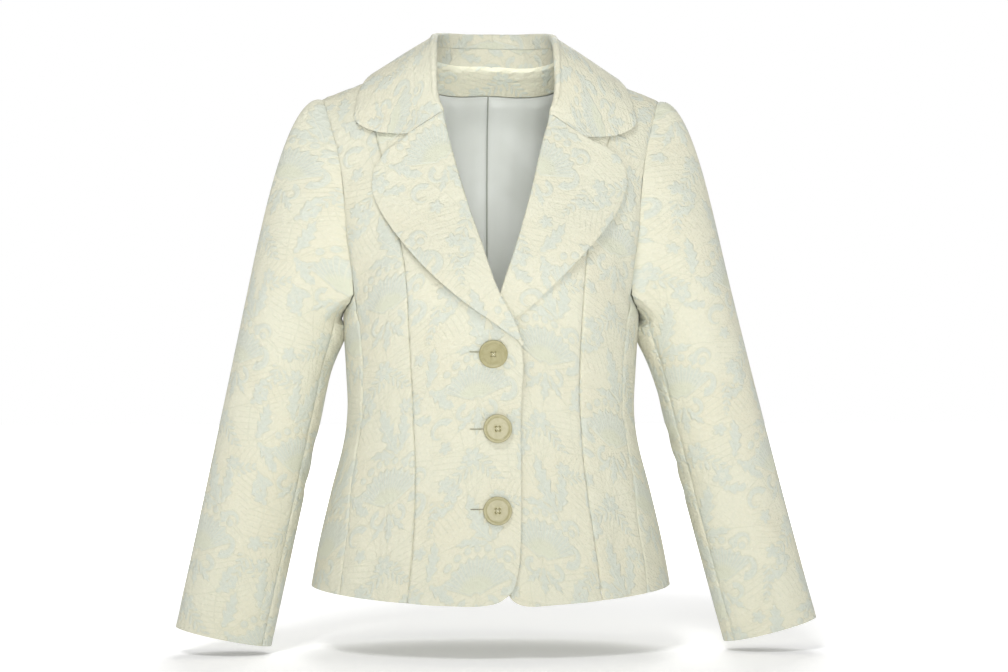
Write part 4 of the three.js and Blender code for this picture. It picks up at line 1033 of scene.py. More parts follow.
def make_inside(name, side):
    """Back lining: below the facing, inside the princess seams and above the hem."""
    top_drop = FACING["depth"] + LINING["below"]
    top = lambda s: back_neck(mix(LINING["from"], 1, s), side, top_drop)
    edge_top = top(np.array([0.0]))[0]
    edge_x = by_turn(*edge_top)[0]
    keys = [turn_at(x - LINING["inside"], z, True) for z, x in BACK_PRINCESS[:-1]]
    keys[0] = hem_at(keys[0][0]) - (0, LINING["above_hem"])
    keys += [place_of(edge_x + LINING["lean"], edge_top[1] + LINING["corner"], True), edge_top]
    left = chain((even(keys), 1, ROW_CROWDING))
    first = left(np.array([0.0]))[0, 0]
    bottom = lambda s: between(first, np.pi)(s) - (0, LINING["above_hem"])
    high, low = top(np.array([1.0]))[0, 1], bottom(np.array([1.0]))[0, 1]
    right = lambda t: np.stack([np.full_like(t, np.pi),
                                mix(high, low, (1 - t) ** ROW_CROWDING)], -1)
    places = patch(bottom, top, left, right, shares(44), shares(120))
    places[..., 0] *= side
    turn, drop = places[..., 0], places[..., 1]
    point, normal = by_turn(turn, drop), turn_normal(turn, drop)
    from_top = lengths(point, 0)[-1:] - lengths(point, 0)
    seated = ease(0, 14, from_top) * ease(0, 10, lengths(point, 1))
    under = WALL + LINING["gap"] + drape(point, side) * np.maximum(seated, 0.0)
    points = point - normal * under[..., None]
    lie = np.stack([point[..., 0], -drop], -1)
    cloth_piece(f"lining_back_{name}", points, lie, normal, LINING["wall"], -1, LINING_LOOK)


def make_facing():
    """Facing inside the back of the neck: its top is turned up against the stand, it rounds the
    neck seam and lies flat on the back."""
    k = np.linspace(0, 1, 113)
    share = mix(FACING["from"], 1, 1 - np.abs(2 * k - 1))
    grow = np.linspace(0, FACING["depth"], 15)
    places = np.zeros((len(k), len(grow), 2))
    for n, g in enumerate(grow):
        for side, here in ((-1, k < 0.5), (1, k >= 0.5)):
            place = back_neck(share[here], side, g)
            place[:, 0] = 2 * np.pi - place[:, 0] if side < 0 else place[:, 0]
            places[here, n] = place
    turn, drop = places[..., 0], places[..., 1]
    point, normal = by_turn(turn, drop), turn_normal(turn, drop)
    away, run = lengths(point, 1), lengths(point, 0)
    rise = (0.7 * pucker(run / 1.7, 0.4) * np.exp(-(away / 12) ** 2)
            - 1.1 * np.exp(-((away - 9.5) / 1.3) ** 2))
    points = point - normal * (WALL + FACING["gap"] + 0.9 - np.clip(rise, -1.5, 0.8))[..., None]
    up, out, neck = np.zeros((3,) + point[:, 0].shape)
    for side, here in ((-1, k < 0.5), (1, k >= 0.5)):
        _, x, seam, rising, outward, _, _ = collar_frames(np.linspace(4, COLLAR_BACK, 60), side)
        order = np.argsort(x)
        for target, source in ((up, rising), (out, outward), (neck, seam)):
            for axis in range(3):
                target[here, axis] = np.interp(point[here, 0, 0], x[order], source[order, axis])
    turned_up = [neck + up * h - out * (WALL / 2 + 0.2) for h in (1.5, 1.0, 0.5)]
    points = np.concatenate([np.stack(turned_up, 1), points], 1)
    normal = np.concatenate([np.stack([out] * 3, 1), normal], 1)
    away, run = lengths(points, 1), lengths(points, 0)
    lie = np.stack([run - run[len(k) // 2] + 30, 40 - away], -1)
    cloth_piece("back_neck_facing", points, lie, normal, FACING["wall"], -1, FACING_CLOTH_PAINTED_LIGHTER)


def chart_place(point, guess):
    """Place (x, drop, lift) of points near the body, by Newton's rule on three columns."""
    place = guess.copy()
    for _ in range(12):
        here = drop_point(place[:, 0], place[:, 1], place[:, 2])
        slopes = []
        for k in range(3):
            moved = place.copy()
            moved[:, k] += 0.3
            slopes.append((drop_point(*moved.T) - here) / 0.3)
        change = np.linalg.solve(np.stack(slopes, -1), (point - here)[..., None])[..., 0]
        place += np.clip(change, -15, 15)
    return place


def folded(start, rise, up, out, radius, first, to_x, to_drop, lift_at, fall=36):
    """Rows of a folded piece: up the inner side, round half a circle, then down over the body
    with a lift that eases from the fold's to its own."""
    t = np.linspace(0, 1, STEM_COLUMNS)[None, :, None]
    stem = start[:, None] + up[:, None] * rise[:, None, None] * t
    centre = start + up * rise[:, None] + out * radius[:, None]
    a = np.radians(np.linspace(0, 180, BOW_COLUMNS + 1))[None, 1:, None]
    r = radius[:, None, None]
    bow = centre[:, None] - out[:, None] * r * np.cos(a) + up[:, None] * r * np.sin(a)
    if first is None:
        end = bow[:, -1]
        sign = np.where(centre[:, 1] > 0, -1.0, 1.0)
        guess = np.stack([centre[:, 0], sign * np.maximum(4, drop_at(centre[:, 0], centre[:, 2])),
                          np.full(len(centre), 8.0)], -1)
        first = chart_place(end, guess)
    share = np.linspace(0, 1, fall + 1)[None, 1:]
    x = mix(first[:, :1], to_x[:, None], share)
    drop = mix(first[:, 1:2], to_drop[:, None], share)
    lift = mix(first[:, 2:3], lift_at(share, x, drop), share ** FALL_EASE)
    return np.concatenate([stem, bow, drop_point(x, drop, lift)], 1)


def opening_frame(place, ahead, side):
    """Body normal on the opening's edge, the point, and the direction away from the panel."""
    normal = turn_normal(place[:, 0], place[:, 1])
    point = by_turn(place[:, 0], place[:, 1])
    tangent = unit(by_turn(ahead[:, 0], ahead[:, 1]) - point)
    away = unit(np.cross(tangent, normal))
    return normal, point, np.where(away[:, :1] * side > 0, -away, away)


def drawn_gorge(grid, row, neighbour):
    """Draw the gorge row square to its seam by the seam gap."""
    middle = grid.shape[1] - 18
    along = unit(grid[row, middle + 6] - grid[row, middle - 6])
    away = grid[neighbour, middle] - grid[row, middle]
    away = unit(away - along * (away * along).sum())
    grid[row] += away * SEAM
    return grid


def edge_roll(points, normal, phase):
    """The outer edge of a turned-out piece turns under a little and gathers along its stitches."""
    across = lengths(points, 1)
    away = across[:, -1:] - across
    turned = 0.5 * np.exp(-(away / 2.4) ** 2)
    gathers = 0.22 * pucker(lengths(points, 0)[:, -1:], phase) * np.exp(-((away - 2.5) / 3.5) ** 2)
    return points - normal * (turned - gathers)[..., None]


def make_lapel(name, front, lift, phase):
    """Lapel: rows that leave the roll line, round half a circle and go down over the front to
    the outline, with a lift that grows in a smooth curve."""
    side = front["side"]
    keys, gorge = opening_keys(front)
    outline = [turn_at(x, z) for x, z in front["lapel"]]
    outline.append(place_of(NECK_SHIFT + side * COLLAR["edge_x"][0], COLLAR["edge_drop"][0]))
    share = np.linspace(0, 1, 97)
    edge = even(outline)(share)
    place, ahead = by_key(keys)(share * gorge), by_key(keys)(share * gorge + 0.01)
    normal, point, away = opening_frame(place, ahead, side)
    radius = mix(FOLD_RADIUS["at_break"], FOLD_RADIUS["at_gorge"], share ** 2)
    lap = lift(point)
    start = point + normal * (lap - WALL / 2)[:, None] + away * LAPEL["seat"]
    edge_point = by_turn(edge[:, 0], edge[:, 1])
    rows = table("at lift", list(enumerate(front["lapel_lift"])))
    edge_lift = read(rows, "at", "lift", share * (len(rows["at"]) - 1))[:, None]

    def lift_at(part, x, drop):
        return lift(by_drop(x, drop)) + LAPEL["gap"] + FOLDED_WALL / 2 + edge_lift * part
    first = np.stack([point[:, 0], place[:, 1], lap + 2 * radius - WALL / 2], -1)
    grid = folded(start, np.full(len(share), LAPEL["rise"]), away, normal, radius, first,
                  edge_point[:, 0], edge[:, 1], lift_at)
    grid = drawn_gorge(grid, -1, -2)
    outward = grid_normals(grid, np.array([0.0, -1.0, 0.05]))
    outward[:, :BOW_COLUMNS] = grid_normals(
        grid[:, :BOW_COLUMNS + 2], away[:, None])[:, :BOW_COLUMNS]
    grid = edge_roll(grid, outward, phase)
    lean = np.radians(30 * side)
    x, z = grid[..., 0], grid[..., 2] * 1.02
    lie = np.stack([x * np.cos(lean) - z * np.sin(lean), x * np.sin(lean) + z * np.cos(lean)], -1)
    cloth_piece(f"lapel_{name}", grid, lie + (40 * side, 20 + 60 * side), outward, FOLDED_WALL, 0,
                CLOTH)


def collar_frames(at, side):
    """Neck seam point, rising and outward directions, fold radius and height of the inner side."""
    row = {name: read(COLLAR, "at", name, at) for name in COLLAR}
    neck_x = NECK_SHIFT + side * row["neck_x"]
    neck = drop_point(neck_x, row["neck_drop"], np.full(len(at), -WALL / 2))
    fold = np.stack([NECK_SHIFT + side * row["fold_x"], row["fold_y"], row["fold_z"]], -1)
    ahead = {name: read(COLLAR, "at", name, np.minimum(COLLAR_BACK, at + 0.1)) for name in COLLAR}
    behind = {name: read(COLLAR, "at", name, np.maximum(0, at - 0.1)) for name in COLLAR}
    along = np.stack([side * (ahead["fold_x"] - behind["fold_x"]),
                      ahead["fold_y"] - behind["fold_y"], ahead["fold_z"] - behind["fold_z"]], -1)
    near = np.minimum(at, 1.5)
    here = place_of(NECK_SHIFT + side * read(COLLAR, "at", "neck_x", near),
                    read(COLLAR, "at", "neck_drop", near))
    nearer = place_of(NECK_SHIFT + side * read(COLLAR, "at", "neck_x", near + 0.1),
                      read(COLLAR, "at", "neck_drop", near + 0.1))
    normal, _, away = opening_frame(here, nearer, side)
    flat = (np.maximum(0, 1 - at) ** 2)[:, None]
    rise = fold - neck
    up = unit(unit(rise) * (1 - flat) + away * flat)
    out = unit(np.cross(along, up))
    outward = np.stack([neck[:, 0] - NECK_SHIFT, neck[:, 1] - 10, np.full(len(at), 20.0)], -1)
    out = np.where(dot(out, outward) < 0, -out, out)
    out = unit(out * (1 - flat) + normal * flat)
    radius = np.where(at < 4, mix(FOLD_RADIUS["at_gorge"], FOLD_RADIUS["at_back"], at / 4),
                      FOLD_RADIUS["at_back"])
    height = mix(np.maximum(LAPEL["rise"], np.linalg.norm(rise, axis=-1) - radius), LAPEL["rise"],
                 flat[:, 0])
    return row, neck_x, neck, up, out, radius, height


def collar_half(at, side):
    """Rows of one half of the collar: up from the stand, round the fold and down to the edge."""
    row, neck_x, neck, up, out, radius, height = collar_frames(at, side)
    share = STAND["share"] * ease(STAND["start"], STAND["full"], at)
    gap = np.where(at < STAND["full"], SEAM, SEAM / 2)
    start = neck + up * np.minimum(height * share + gap, height + SEAM)[:, None]
    rise = np.maximum(LAPEL["rise"], height * (1 - share) - gap)
    bottom = start + up * rise[:, None]
    centre = bottom + out * radius[:, None]
    sign = np.where(centre[:, 1] > 0, -1.0, 1.0)
    guess = np.stack([centre[:, 0], sign * np.maximum(4, drop_at(centre[:, 0], centre[:, 2])),
                      np.full(len(at), 8.0)], -1)
    first = chart_place(centre + out * radius[:, None], guess)
    gorge = np.stack([neck_x, row["neck_drop"], 2 * radius - WALL / 2], -1)
    first = np.where(at[:, None] > 0, first, gorge)
    return folded(start, rise, up, out, radius, first, NECK_SHIFT + side * row["edge_x"],
                  row["edge_drop"], lambda part, x, drop: row["lift"][:, None])


def make_collar():
    """Collar: both halves joined behind, drawn square at the gorge, its edge turned under."""
    at = COLLAR_BACK * shares(72, 0.3, 3)
    right, left = collar_half(at, -1), collar_half(at, 1)
    grid = np.concatenate([right, left[-2::-1]])
    grid = drawn_gorge(drawn_gorge(grid, 0, 1), -1, -2)
    centre = np.array([NECK_SHIFT, 0.0, -60.0])
    outward = grid_normals(grid, grid - centre)
    stem = grid[:, :STEM_COLUMNS]
    outward[:, :STEM_COLUMNS] = grid_normals(stem, centre - stem)
    outward = np.where(dot(outward, np.roll(outward, 1, 1)) < -2, -outward, outward)
    fallen = outward.copy()
    fallen[:, :STEM_COLUMNS + BOW_COLUMNS + 1] = 0
    grid = edge_roll(grid, fallen, 2.0)
    # The collar is cut as a bent strip, so its lie is a sector about a point above the fold
    run, across = lengths(grid, 0)[:, FOLD_COLUMN:FOLD_COLUMN + 1], lengths(grid, 1)
    bend = (run - run[len(run) // 2]) / COLLAR_BEND
    from_centre = COLLAR_BEND + across - across[:, FOLD_COLUMN:FOLD_COLUMN + 1]
    lie = np.stack([from_centre * np.sin(bend) + 50,
                    COLLAR_BEND + 60 - from_centre * np.cos(bend)], -1)
    cloth_piece("collar", grid, lie, consistent(grid), FOLDED_WALL, 0, CLOTH)


def consistent(grid):
    """Grid normals as the grid's own turning gives them, faced outward where it falls."""
    normal = unit(np.cross(np.gradient(grid, axis=0), np.gradient(grid, axis=1)))
    fall = normal[len(grid) // 2, -6]
    return normal if fall[1] > 0 else -normal


def make_stand():
    """Collar stand: from the neck seam up to the seam under the collar's inner side."""
    at = mix(STAND["from"], COLLAR_BACK, np.linspace(0, 1, 57))
    halves = []
    for side in (-1, 1):
        _, _, neck, up, _, _, height = collar_frames(at, side)
        low = neck + up * STAND["seat"]
        high = neck + up * (height * STAND["share"] - SEAM / 2)[:, None]
        t = np.linspace(0, 1, 13)[None, :, None]
        halves.append(mix(low[:, None], high[:, None], t))
    grid = np.concatenate([halves[0], halves[1][-2::-1]])
    inward = np.array([NECK_SHIFT, 0.0, 0.0]) - grid * (1, 1, 0)
    normal = grid_normals(grid, inward)
    wave = 0.3 * pucker(lengths(grid, 0) / 2.2, 0.7) * np.sin(np.pi * np.linspace(0, 1, 13))[None]
    grid = grid + normal * np.clip(wave, -0.5, 0.5)[..., None]
    run = lengths(grid, 0)
    lie = np.stack([run - run[len(run) // 2] + 12, lengths(grid, 1) + 70], -1)
    cloth_piece("collar_stand", grid, lie, normal, WALL, 0, CLOTH)


# Round and long measures by which the sleeves' creases are laid
ARM_CREASE_RADIUS = 52.0
ARM_CREASE_LENGTH = 355.0

# Creases of the sleeves. Columns: share down the arm (0 at the upper arm ring), angle about the
# arm in degrees (0 outside, 90 behind), slant, half length and half width in millimetres, depth
ARM_CREASES = table("share angle slant long wide depth", [
    (0.0, 184, 0, 34, 26, 8.6), (0.06, 150, 22, 34, 8, -1.5), (0.14, 206, -26, 30, 9, -1.6),
    (0.20, 172, 16, 34, 9, -1.3), (0.36, 188, 64, 24, 8, -1.6), (0.42, 160, 72, 26, 8, -1.7),
    (0.47, 196, 58, 26, 8, -1.4), (0.52, 168, 76, 22, 8, -1.1), (0.24, -60, 6, 70, 11, -1.0),
    (0.62, -40, -5, 60, 10, -1.2), (0.70, 40, 8, 54, 11, 1.2), (0.84, -80, 10, 46, 10, -1.2),
    (0.86, 150, -12, 40, 10, 1.2), (0.05, 60, -10, 60, 12, -1.4), (0.40, 100, 60, 30, 9, -1.2),
    (0.50, 80, 68, 26, 9, -1.2), (0.92, 20, 50, 22, 8, -0.8),
])

# How far the repeat is moved on each sleeve piece, across and up
SLEEVE_LIE = {"top_sleeve_left": (62, 70), "under_sleeve_left": (20, 10),
              "top_sleeve_right": (30, 150), "under_sleeve_right": (70, 60)}


def arm_relief(share, angle, girth_at, length, mirror):
    """Soft bells laid about the arm, measured round it and along it."""
    total = np.zeros(share.shape)
    for s, a, slant, long, wide, depth in zip(*ARM_CREASES.values()):
        across = ((angle - np.radians(a) + np.pi) % (2 * np.pi) - np.pi) * girth_at
        along = (share - s) * length
        c, n = np.cos(np.radians(slant * mirror)), np.sin(np.radians(slant * mirror))
        total += depth * np.exp(-((along * c + across * n) / long) ** 2
                                - ((across * c - along * n) / wide) ** 2)
    return total


def make_sleeve(name, seams, phase):
    """Sleeve: a cubic from the armhole over the cap to the upper arm, then rings to the cuff."""
    side, cuff_x, cuff_z = CUFFS[name]
    fine = 5
    front_share = np.linspace(1, 0, ROWS["arm_front"] * fine + 1)
    back_share = np.linspace(0, 1, ROWS["arm_back"] * fine + 1)[1:]
    loop = np.concatenate([seams["arm_front"](front_share), seams["arm_back"](back_share)])
    elbow = np.array([side * UPPER_ARM["x"], UPPER_ARM["y"], UPPER_ARM["z"]], float)
    hand = np.array([side * cuff_x, UPPER_ARM["y"], cuff_z], float)
    axis = unit(hand - elbow)
    outside = np.array([-axis[2] * side, 0, axis[0] * side])

    def ring(share, angle):
        share, angle = np.broadcast_arrays(share, angle)
        half = mix(UPPER_ARM["half"], CUFF["half"], share)[..., None]
        deep = mix(UPPER_ARM["deep"], CUFF["deep"], share)[..., None]
        centre = mix(elbow, hand, share[..., None]) + CUFF["y"] * share[..., None] ** 2 * (0, 1, 0)
        return (centre + outside * half * np.cos(angle)[..., None]
                + np.array([0, 1, 0]) * deep * np.sin(angle)[..., None])

    point = by_turn(loop[:, 0], loop[:, 1])
    normal = turn_normal(loop[:, 0], loop[:, 1])
    before = np.roll(point[:-1], fine, 0)
    after = np.roll(point[:-1], -fine, 0)
    chord = after - before
    chord = np.concatenate([chord, chord[:1]])
    away = unit(np.cross(chord, normal)) * -side
    angle = np.arctan2((point[:, 1] - SLEEVE_CENTRE["y"]) / SLEEVE_CENTRE["wide"],
                       (point[:, 2] - SLEEVE_CENTRE["z"]) / SLEEVE_CENTRE["high"])
    top = ((1 + np.cos(angle)) / 2)[:, None]
    start = point + away * (SEAM_CLOSED * top) + normal * (SEAM_CLOSED * (1 - top))
    heading = unit(away * top + np.array([0, 0, -1.0]) * CAP["fall"] * (1 - top)
                   + normal * CAP["stand"])
    end = ring(0.0, angle)
    reach = np.linalg.norm(end - start, axis=-1)[:, None]
    one, two = start + heading * CAP["start"] * reach, end - axis * CAP["end"] * reach
    t = shares(34, 0.5, 3)[None, :, None]
    s = 1 - t
    cap = (start[:, None] * s ** 3 + 3 * one[:, None] * s * s * t + 3 * two[:, None] * s * t * t
           + end[:, None] * t ** 3)
    down = np.linspace(0, 1, 79)[None, 1:]
    arm = ring(down, angle[:, None])
    grid = np.concatenate([cap, arm], 1)
    # The loop meets itself at the shoulder, so its slopes are taken past the join
    wrap = np.concatenate([grid[-4:-1], grid, grid[1:4]])
    normals = unit(np.cross(np.gradient(wrap, axis=0), np.gradient(wrap, axis=1)))[3:-3]
    middle = grid[:, 40:41].mean(0, keepdims=True)
    normals = np.where(dot(normals[:1, 40:41], grid[:1, 40:41] - middle) < 0, -normals, normals)
    spread = np.arctan2(np.sin(angle), np.cos(angle))[:, None]
    share = np.concatenate([np.linspace(-0.42, 0, cap.shape[1]), down[0]])[None]
    relief = arm_relief(share + 0 * spread, spread + 0 * share, ARM_CREASE_RADIUS,
                        ARM_CREASE_LENGTH, side)
    relief *= ease(0, 20, lengths(grid, 1))
    coarse = np.degrees(angle[::fine])
    picks = [1 + np.argmin(np.abs(coarse[1:-1] - seam))
             for seam in (FRONT_SLEEVE_SEAM, BACK_SLEEVE_SEAM)]
    first, last = (pick * fine for pick in picks)
    ring_row = cap.shape[1] - 1
    ends = np.arange(len(loop))
    strips = {f"under_sleeve_{name}": ends[first:last + 1],
              f"top_sleeve_{name}": np.concatenate([ends[last:-1], ends[:first + 1]])}
    for n, (piece_name, picked) in enumerate(strips.items()):
        base, up = grid[picked], normals[picked]
        run = lengths(base, 0)
        dip = seam_relief(base, dict(low=0.5, high=0.5), phase + n)
        # Easing of the cap into the armhole: shallow even gathers that fade below the seam
        down_arm = lengths(base, 1)
        eased = 0.3 * np.sin(run / 3.1 + phase) * np.exp(-((down_arm - 6) / 7.0) ** 2)
        sunk = armhole_dip(down_arm) + armpit_dip(base[:, :1, 2], down_arm)
        inward = unit(mix(normal[picked][:, None], up, ease(0, 16, down_arm)[..., None]))
        points = base + up * (relief[picked] + dip + eased)[..., None] - inward * sunk[..., None]
        round_arm, along = run.copy(), lengths(base, 1)
        round_arm[:, :ring_row] = run[:, ring_row:ring_row + 1]
        lie = np.stack([(round_arm[len(run) // 2] - round_arm) * side,
                        along[:, ring_row:ring_row + 1] - along], -1)
        lie += np.array(SLEEVE_LIE[piece_name])
        cloth_piece(piece_name, points, lie, up, WALL, -1, CLOTH)


def plain_mesh(name, points, faces, material):
    """Mesh of joined closed forms from an array of points and a list of faces."""
    mesh = bpy.data.meshes.new(name)
    mesh.from_pydata((points * MM).tolist(), [], faces)
    mesh.polygons.foreach_set("use_smooth", np.ones(len(faces), bool))
    mesh.materials.append(material)
    mesh.update()
    piece = bpy.data.objects.new(name, mesh)
    bpy.context.scene.collection.objects.link(piece)
    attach(piece, "root")
    return piece


def front_frame(x, z, lift):
    """Centre, right, up and outward directions of a small thing on the wearer's right front."""
    drop = float(drop_at(x, z))
    centre = drop_point(np.array([x]), np.array([drop]), np.array([0.0]))[0]
    normal = normal_of(by_drop, np.array([float(x)]), np.array([drop]), 0.2, 0.2)[0]
    centre = centre + normal * (lap_lift(centre) + lift)
    right = unit(np.cross(np.array([0, 0, 1.0]), normal))
    right = -right if right[0] < 0 else right
    up = np.cross(normal, right)
    return centre, right, np.where(up[2] < 0, -up, up), normal


def lathe(heights, radii, turns, relief=None):
    """Closed round form about its axis: rings of each radius at each height; relief(x, y, z) is
    taken off their heights, and the top's rings come first."""
    a = np.linspace(0, 2 * np.pi, turns, endpoint=False)
    x, y = radii[:, None] * np.cos(a), radii[:, None] * np.sin(a)
    z = np.repeat(heights[:, None], turns, 1)
    if relief is not None:
        z = z - relief(x, y, z)
    points = np.stack([x, y, z], -1).reshape(-1, 3)
    rings = len(radii)
    i, j = np.meshgrid(np.arange(rings - 1), np.arange(turns), indexing="ij")
    k, m = i * turns + j, i * turns + (j + 1) % turns
    quads = np.stack([k, k + turns, m + turns, m], -1).reshape(-1, 4)
    return points, quads


# How far a button's four holes lie from its middle, both ways
HOLE_AT = 1.9


def make_button(number, x, z):
    """Dished button with a rounded rim and four sunk holes, sewn on with a crossed thread."""
    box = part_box(f"button_{number}")
    solid_centre = (np.array(box[0]) + np.array(box[1])) / 2 * 1000
    _, right, up, normal = front_frame(x, z, 0)
    back = solid_centre - normal * BUTTON["thick"] / 2
    r, thick = BUTTON["radius"], BUTTON["thick"]
    rim = r - BUTTON["rim"]
    radii = np.concatenate([[0.02], np.linspace(0.5, 6, 18), np.linspace(6.6, rim - 1.4, 6),
                            rim - 1.4 + 2.4 * np.linspace(0.1, 1, 9),
                            np.linspace(rim + 1.3, r - 1.1, 4),
                            r - 1.1 + 1.1 * np.sin(np.radians(np.linspace(10, 90, 7))),
                            r - 1.1 + 1.1 * np.cos(np.radians(np.linspace(15, 90, 6))),
                            [r * 0.6, 0.02]])
    dish = thick - BUTTON["dish"] * (1 - ease(rim - 1.4, rim + 1.0, radii[:34]))
    heights = np.concatenate([dish[:34], np.full(4, thick),
                              thick - 1.1 + 1.1 * np.cos(np.radians(np.linspace(10, 90, 7))),
                              1.1 - 1.1 * np.sin(np.radians(np.linspace(15, 90, 6))), [0, 0]])

    def holes(px, py, pz):
        sink = sum(np.exp(-(((px - a * HOLE_AT) ** 2 + (py - b * HOLE_AT) ** 2) / 0.95 ** 2) ** 2)
                   for a in (-1, 1) for b in (-1, 1))
        swirl = 0.05 * np.sin(np.hypot(px, py) * 5.0)
        return np.where(pz > thick - 1.3, 1.6 * sink + swirl, 0)
    points, quads = lathe(heights, radii, 72, holes)
    place = back + points[:, :1] * right + points[:, 1:2] * up + points[:, 2:] * normal
    button = plain_mesh(f"resin_button_{number}", place, quads.tolist(), RESIN)
    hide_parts(f"button_{number}")
    close_poles(button)

    spots = []
    for turned in (1, -1):
        t = np.linspace(0, 1, 13)[:, None]
        corner = np.array([HOLE_AT, HOLE_AT * turned])
        path = mix(-corner, corner, t)
        height = thick - BUTTON["dish"] - 0.9 + 1.35 * np.sin(np.pi * t[:, 0]) ** 0.5
        spots.append(back + path[:, :1] * right + path[:, 1:] * up + height[:, None] * normal)
    points, faces = tubes(spots, 0.42, 8)
    plain_mesh(f"button_thread_{number}", points, faces, PALE_THREAD)


def close_poles(piece):
    """Join the tiny rings at a form's two poles and turn its faces outward."""
    mesh = bmesh.new()
    mesh.from_mesh(piece.data)
    bmesh.ops.remove_doubles(mesh, verts=mesh.verts, dist=0.00005)
    bmesh.ops.recalc_face_normals(mesh, faces=mesh.faces)
    mesh.to_mesh(piece.data)
    mesh.free()


def tubes(paths, radius, sides):
    """Round threads along paths: a ring of points square to each path, closed at both ends."""
    all_points, all_faces, start = [], [], 0
    a = np.linspace(0, 2 * np.pi, sides, endpoint=False)
    for path in paths:
        tangent = unit(np.gradient(path, axis=0))
        side = unit(np.cross(tangent, np.array([0.31, -0.87, 0.39])))
        other = np.cross(tangent, side)
        rings = (path[:, None] + radius * (np.cos(a)[None, :, None] * side[:, None]
                                           + np.sin(a)[None, :, None] * other[:, None]))
        rings[0] = path[0] + (rings[0] - path[0]) * 0.35
        rings[-1] = path[-1] + (rings[-1] - path[-1]) * 0.35
        n = len(path)
        points = np.concatenate([rings.reshape(-1, 3), path[:1], path[-1:]])
        i, j = np.meshgrid(np.arange(n - 1), np.arange(sides), indexing="ij")
        k, m = i * sides + j, i * sides + (j + 1) % sides
        quads = np.stack([k, m, m + sides, k + sides], -1).reshape(-1, 4)
        j = np.arange(sides)
        low = np.stack([j * 0 + n * sides, (j + 1) % sides, j], -1)
        top = (n - 1) * sides
        high = np.stack([j * 0 + n * sides + 1, top + j, top + (j + 1) % sides], -1)
        all_points.append(points)
        all_faces += (quads + start).tolist() + (low + start).tolist() + (high + start).tolist()
        start += len(points)
    return np.concatenate(all_points), all_faces


# Buttonholes: middle x and height, half length
HOLES = [(-14.5, -326.3, 13.5), (-13.5, -410.3, 13.5), (-13.5, -495.3, 13.5)]


def make_buttonhole(number, x, z, half):
    """Worked buttonhole: close stitches round a dark slit, lying on the wearer's right front."""
    count = 44
    t = np.linspace(0, 1, count, endpoint=False)
    paths = []
    for n, s in enumerate(t):
        lap = 4 * half * s
        upper = lap < 2 * half
        along = (lap if upper else 4 * half - lap) - half
        sign = 1 if upper else -1
        inner, outer = 0.28, 1.35 + 0.12 * np.sin(n * 2.4)
        across = np.array([inner, (inner + outer) / 2, outer]) * sign
        px = x + along + np.array([0, 0.05, 0.1])
        drops = drop_at(px, z + across)
        base = drop_point(px, drops, np.zeros(3))
        lift = lap_lift(base) + np.array([0.12, 0.42, 0.05])
        paths.append(drop_point(px, drops, lift))
    points, faces = tubes(paths, 0.3, 6)
    plain_mesh(f"buttonhole_stitches_{number}", points, faces, PALE_THREAD)
    run = np.linspace(-half, half, 40)
    px = x + run
    drops = drop_at(px, np.full_like(px, z))
    base = drop_point(px, drops, np.zeros(40))
    slit = [drop_point(px, drops, lap_lift(base) + 0.1)]
    points, faces = tubes(slit, 0.34, 6)
    plain_mesh(f"buttonhole_slit_{number}", points, faces, SLIT)


def slit_look():
    """Shaded cloth in a buttonhole: two dark tones mixed by a fine noise."""
    look = Look("shadow in a buttonhole")
    place = look.node("ShaderNodeTexCoord").outputs["Object"]
    fray = look.noise(place, 1500.0, 2.0)
    return look.finish(look.blend(fray, colour(88, 84, 66), colour(120, 116, 94)), 0.9)


SLIT = slit_look()

for phase, (name, front) in enumerate(FRONTS.items()):
    seams = seams_of(front["side"])
    lift = lap_lift if front["side"] < 0 else no_lift
    make_fronts(name, front, seams, lift, 0.4 + phase)
    make_lapel(name, front, lift, phase)
    make_backs(name, front["side"], seams, 2.2 + phase)
    make_inside(name, front["side"])
    make_sleeve(name, seams, 3.1 + phase)
make_collar()
make_stand()
make_facing()
for number, (x, z) in enumerate(BUTTONS, 1):
    make_button(number, x, z)
for number, hole in enumerate(HOLES, 1):
    make_buttonhole(number, *hole)


# Floor: its height and half width in metres
FLOOR = dict(z=-0.657, half=6)


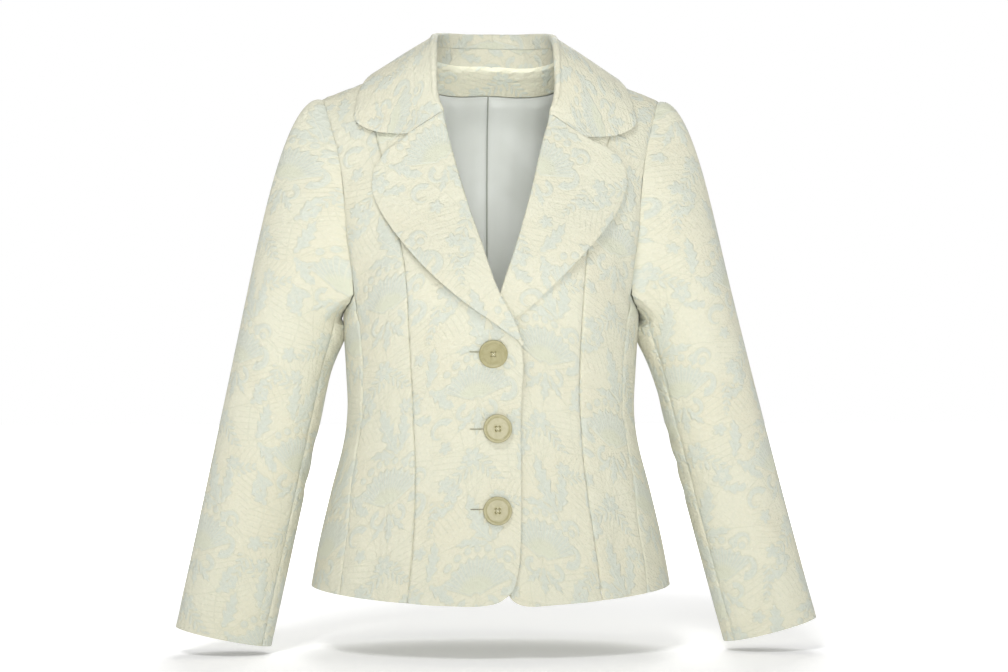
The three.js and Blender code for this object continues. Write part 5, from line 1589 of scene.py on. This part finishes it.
def stage_sheet():
    """Plain pale floor under the blazer; it glows a little, more so farther out."""
    run = np.linspace(-FLOOR["half"], FLOOR["half"], 13)
    points = np.stack(np.broadcast_arrays(run[None], run[:, None], FLOOR["z"]), -1)
    quads = cells(len(run), len(run))
    mesh = bpy.data.meshes.new("pale floor")
    mesh.from_pydata(points.reshape(-1, 3).tolist(), [], quads.tolist())
    look = Look("pale floor")
    place = look.node("ShaderNodeTexCoord").outputs["Object"]
    parts = look.node("ShaderNodeSeparateXYZ", None, {0: place})
    ahead, back = Value(look, parts.outputs[0]), Value(look, parts.outputs[1])
    away = (ahead * ahead + back * back).root()
    glow = look.blend(away.step(0.3, 1.8), (0.2, 0.2, 0.2, 1), (1, 1, 1, 1))
    look.tree.links.new(glow, look.shader.inputs["Emission Color"])
    mesh.materials.append(look.finish((0.95, 0.95, 0.95, 1), 0.9,
                                      constants={"Emission Strength": 1.0}))
    floor = bpy.data.objects.new("pale_floor", mesh)
    bpy.context.scene.collection.objects.link(floor)


def area_light(name, place, aim, size, power):
    """Round area light of a size in metres and a power in watts, turned to a point."""
    light = bpy.data.lights.new(name, "AREA")
    light.shape, light.size, light.energy = "DISK", size, power
    lamp = bpy.data.objects.new(name, light)
    lamp.location = place
    direction = np.array(aim, float) - np.array(place, float)
    lamp.rotation_euler = Vector(direction).to_track_quat("-Z", "Y").to_euler()
    bpy.context.scene.collection.objects.link(lamp)


stage_sheet()
area_light("key", (-0.8, -1.9, 2.5), (0, 0, -0.3), 1.0, 46)
area_light("front", (0.2, -3.2, -0.15), (0, 0, -0.3), 1.2, 47)
area_light("back", (0.3, 2.7, 1.9), (0, 0, -0.3), 2.0, 64)

# The room is white to the camera and dimmer as light
world = bpy.data.worlds.new("pale room")
bpy.context.scene.world = world
world.use_nodes = True
tree = world.node_tree
seen, cast = tree.nodes["Background"], tree.nodes.new("ShaderNodeBackground")
seen.inputs[0].default_value = cast.inputs[0].default_value = (1, 1, 1, 1)
seen.inputs[1].default_value, cast.inputs[1].default_value = 1.0, 0.3
rays, either = tree.nodes.new("ShaderNodeLightPath"), tree.nodes.new("ShaderNodeMixShader")
for output, target in ((rays.outputs["Is Camera Ray"], either.inputs[0]),
                       (cast.outputs[0], either.inputs[1]), (seen.outputs[0], either.inputs[2]),
                       (either.outputs[0], tree.nodes["World Output"].inputs["Surface"])):
    tree.links.new(output, target)
bpy.context.scene.view_settings.view_transform = "Standard"

camera_data = bpy.data.cameras.new("camera")
camera_data.lens = 77.14
camera_data.sensor_width = 36
camera = bpy.data.objects.new("camera", camera_data)
camera.location = (-0.1111, -2.3975, -0.311)
camera.rotation_euler = (np.radians(90), 0, np.radians(-3))
bpy.context.scene.collection.objects.link(camera)
bpy.context.scene.camera = camera
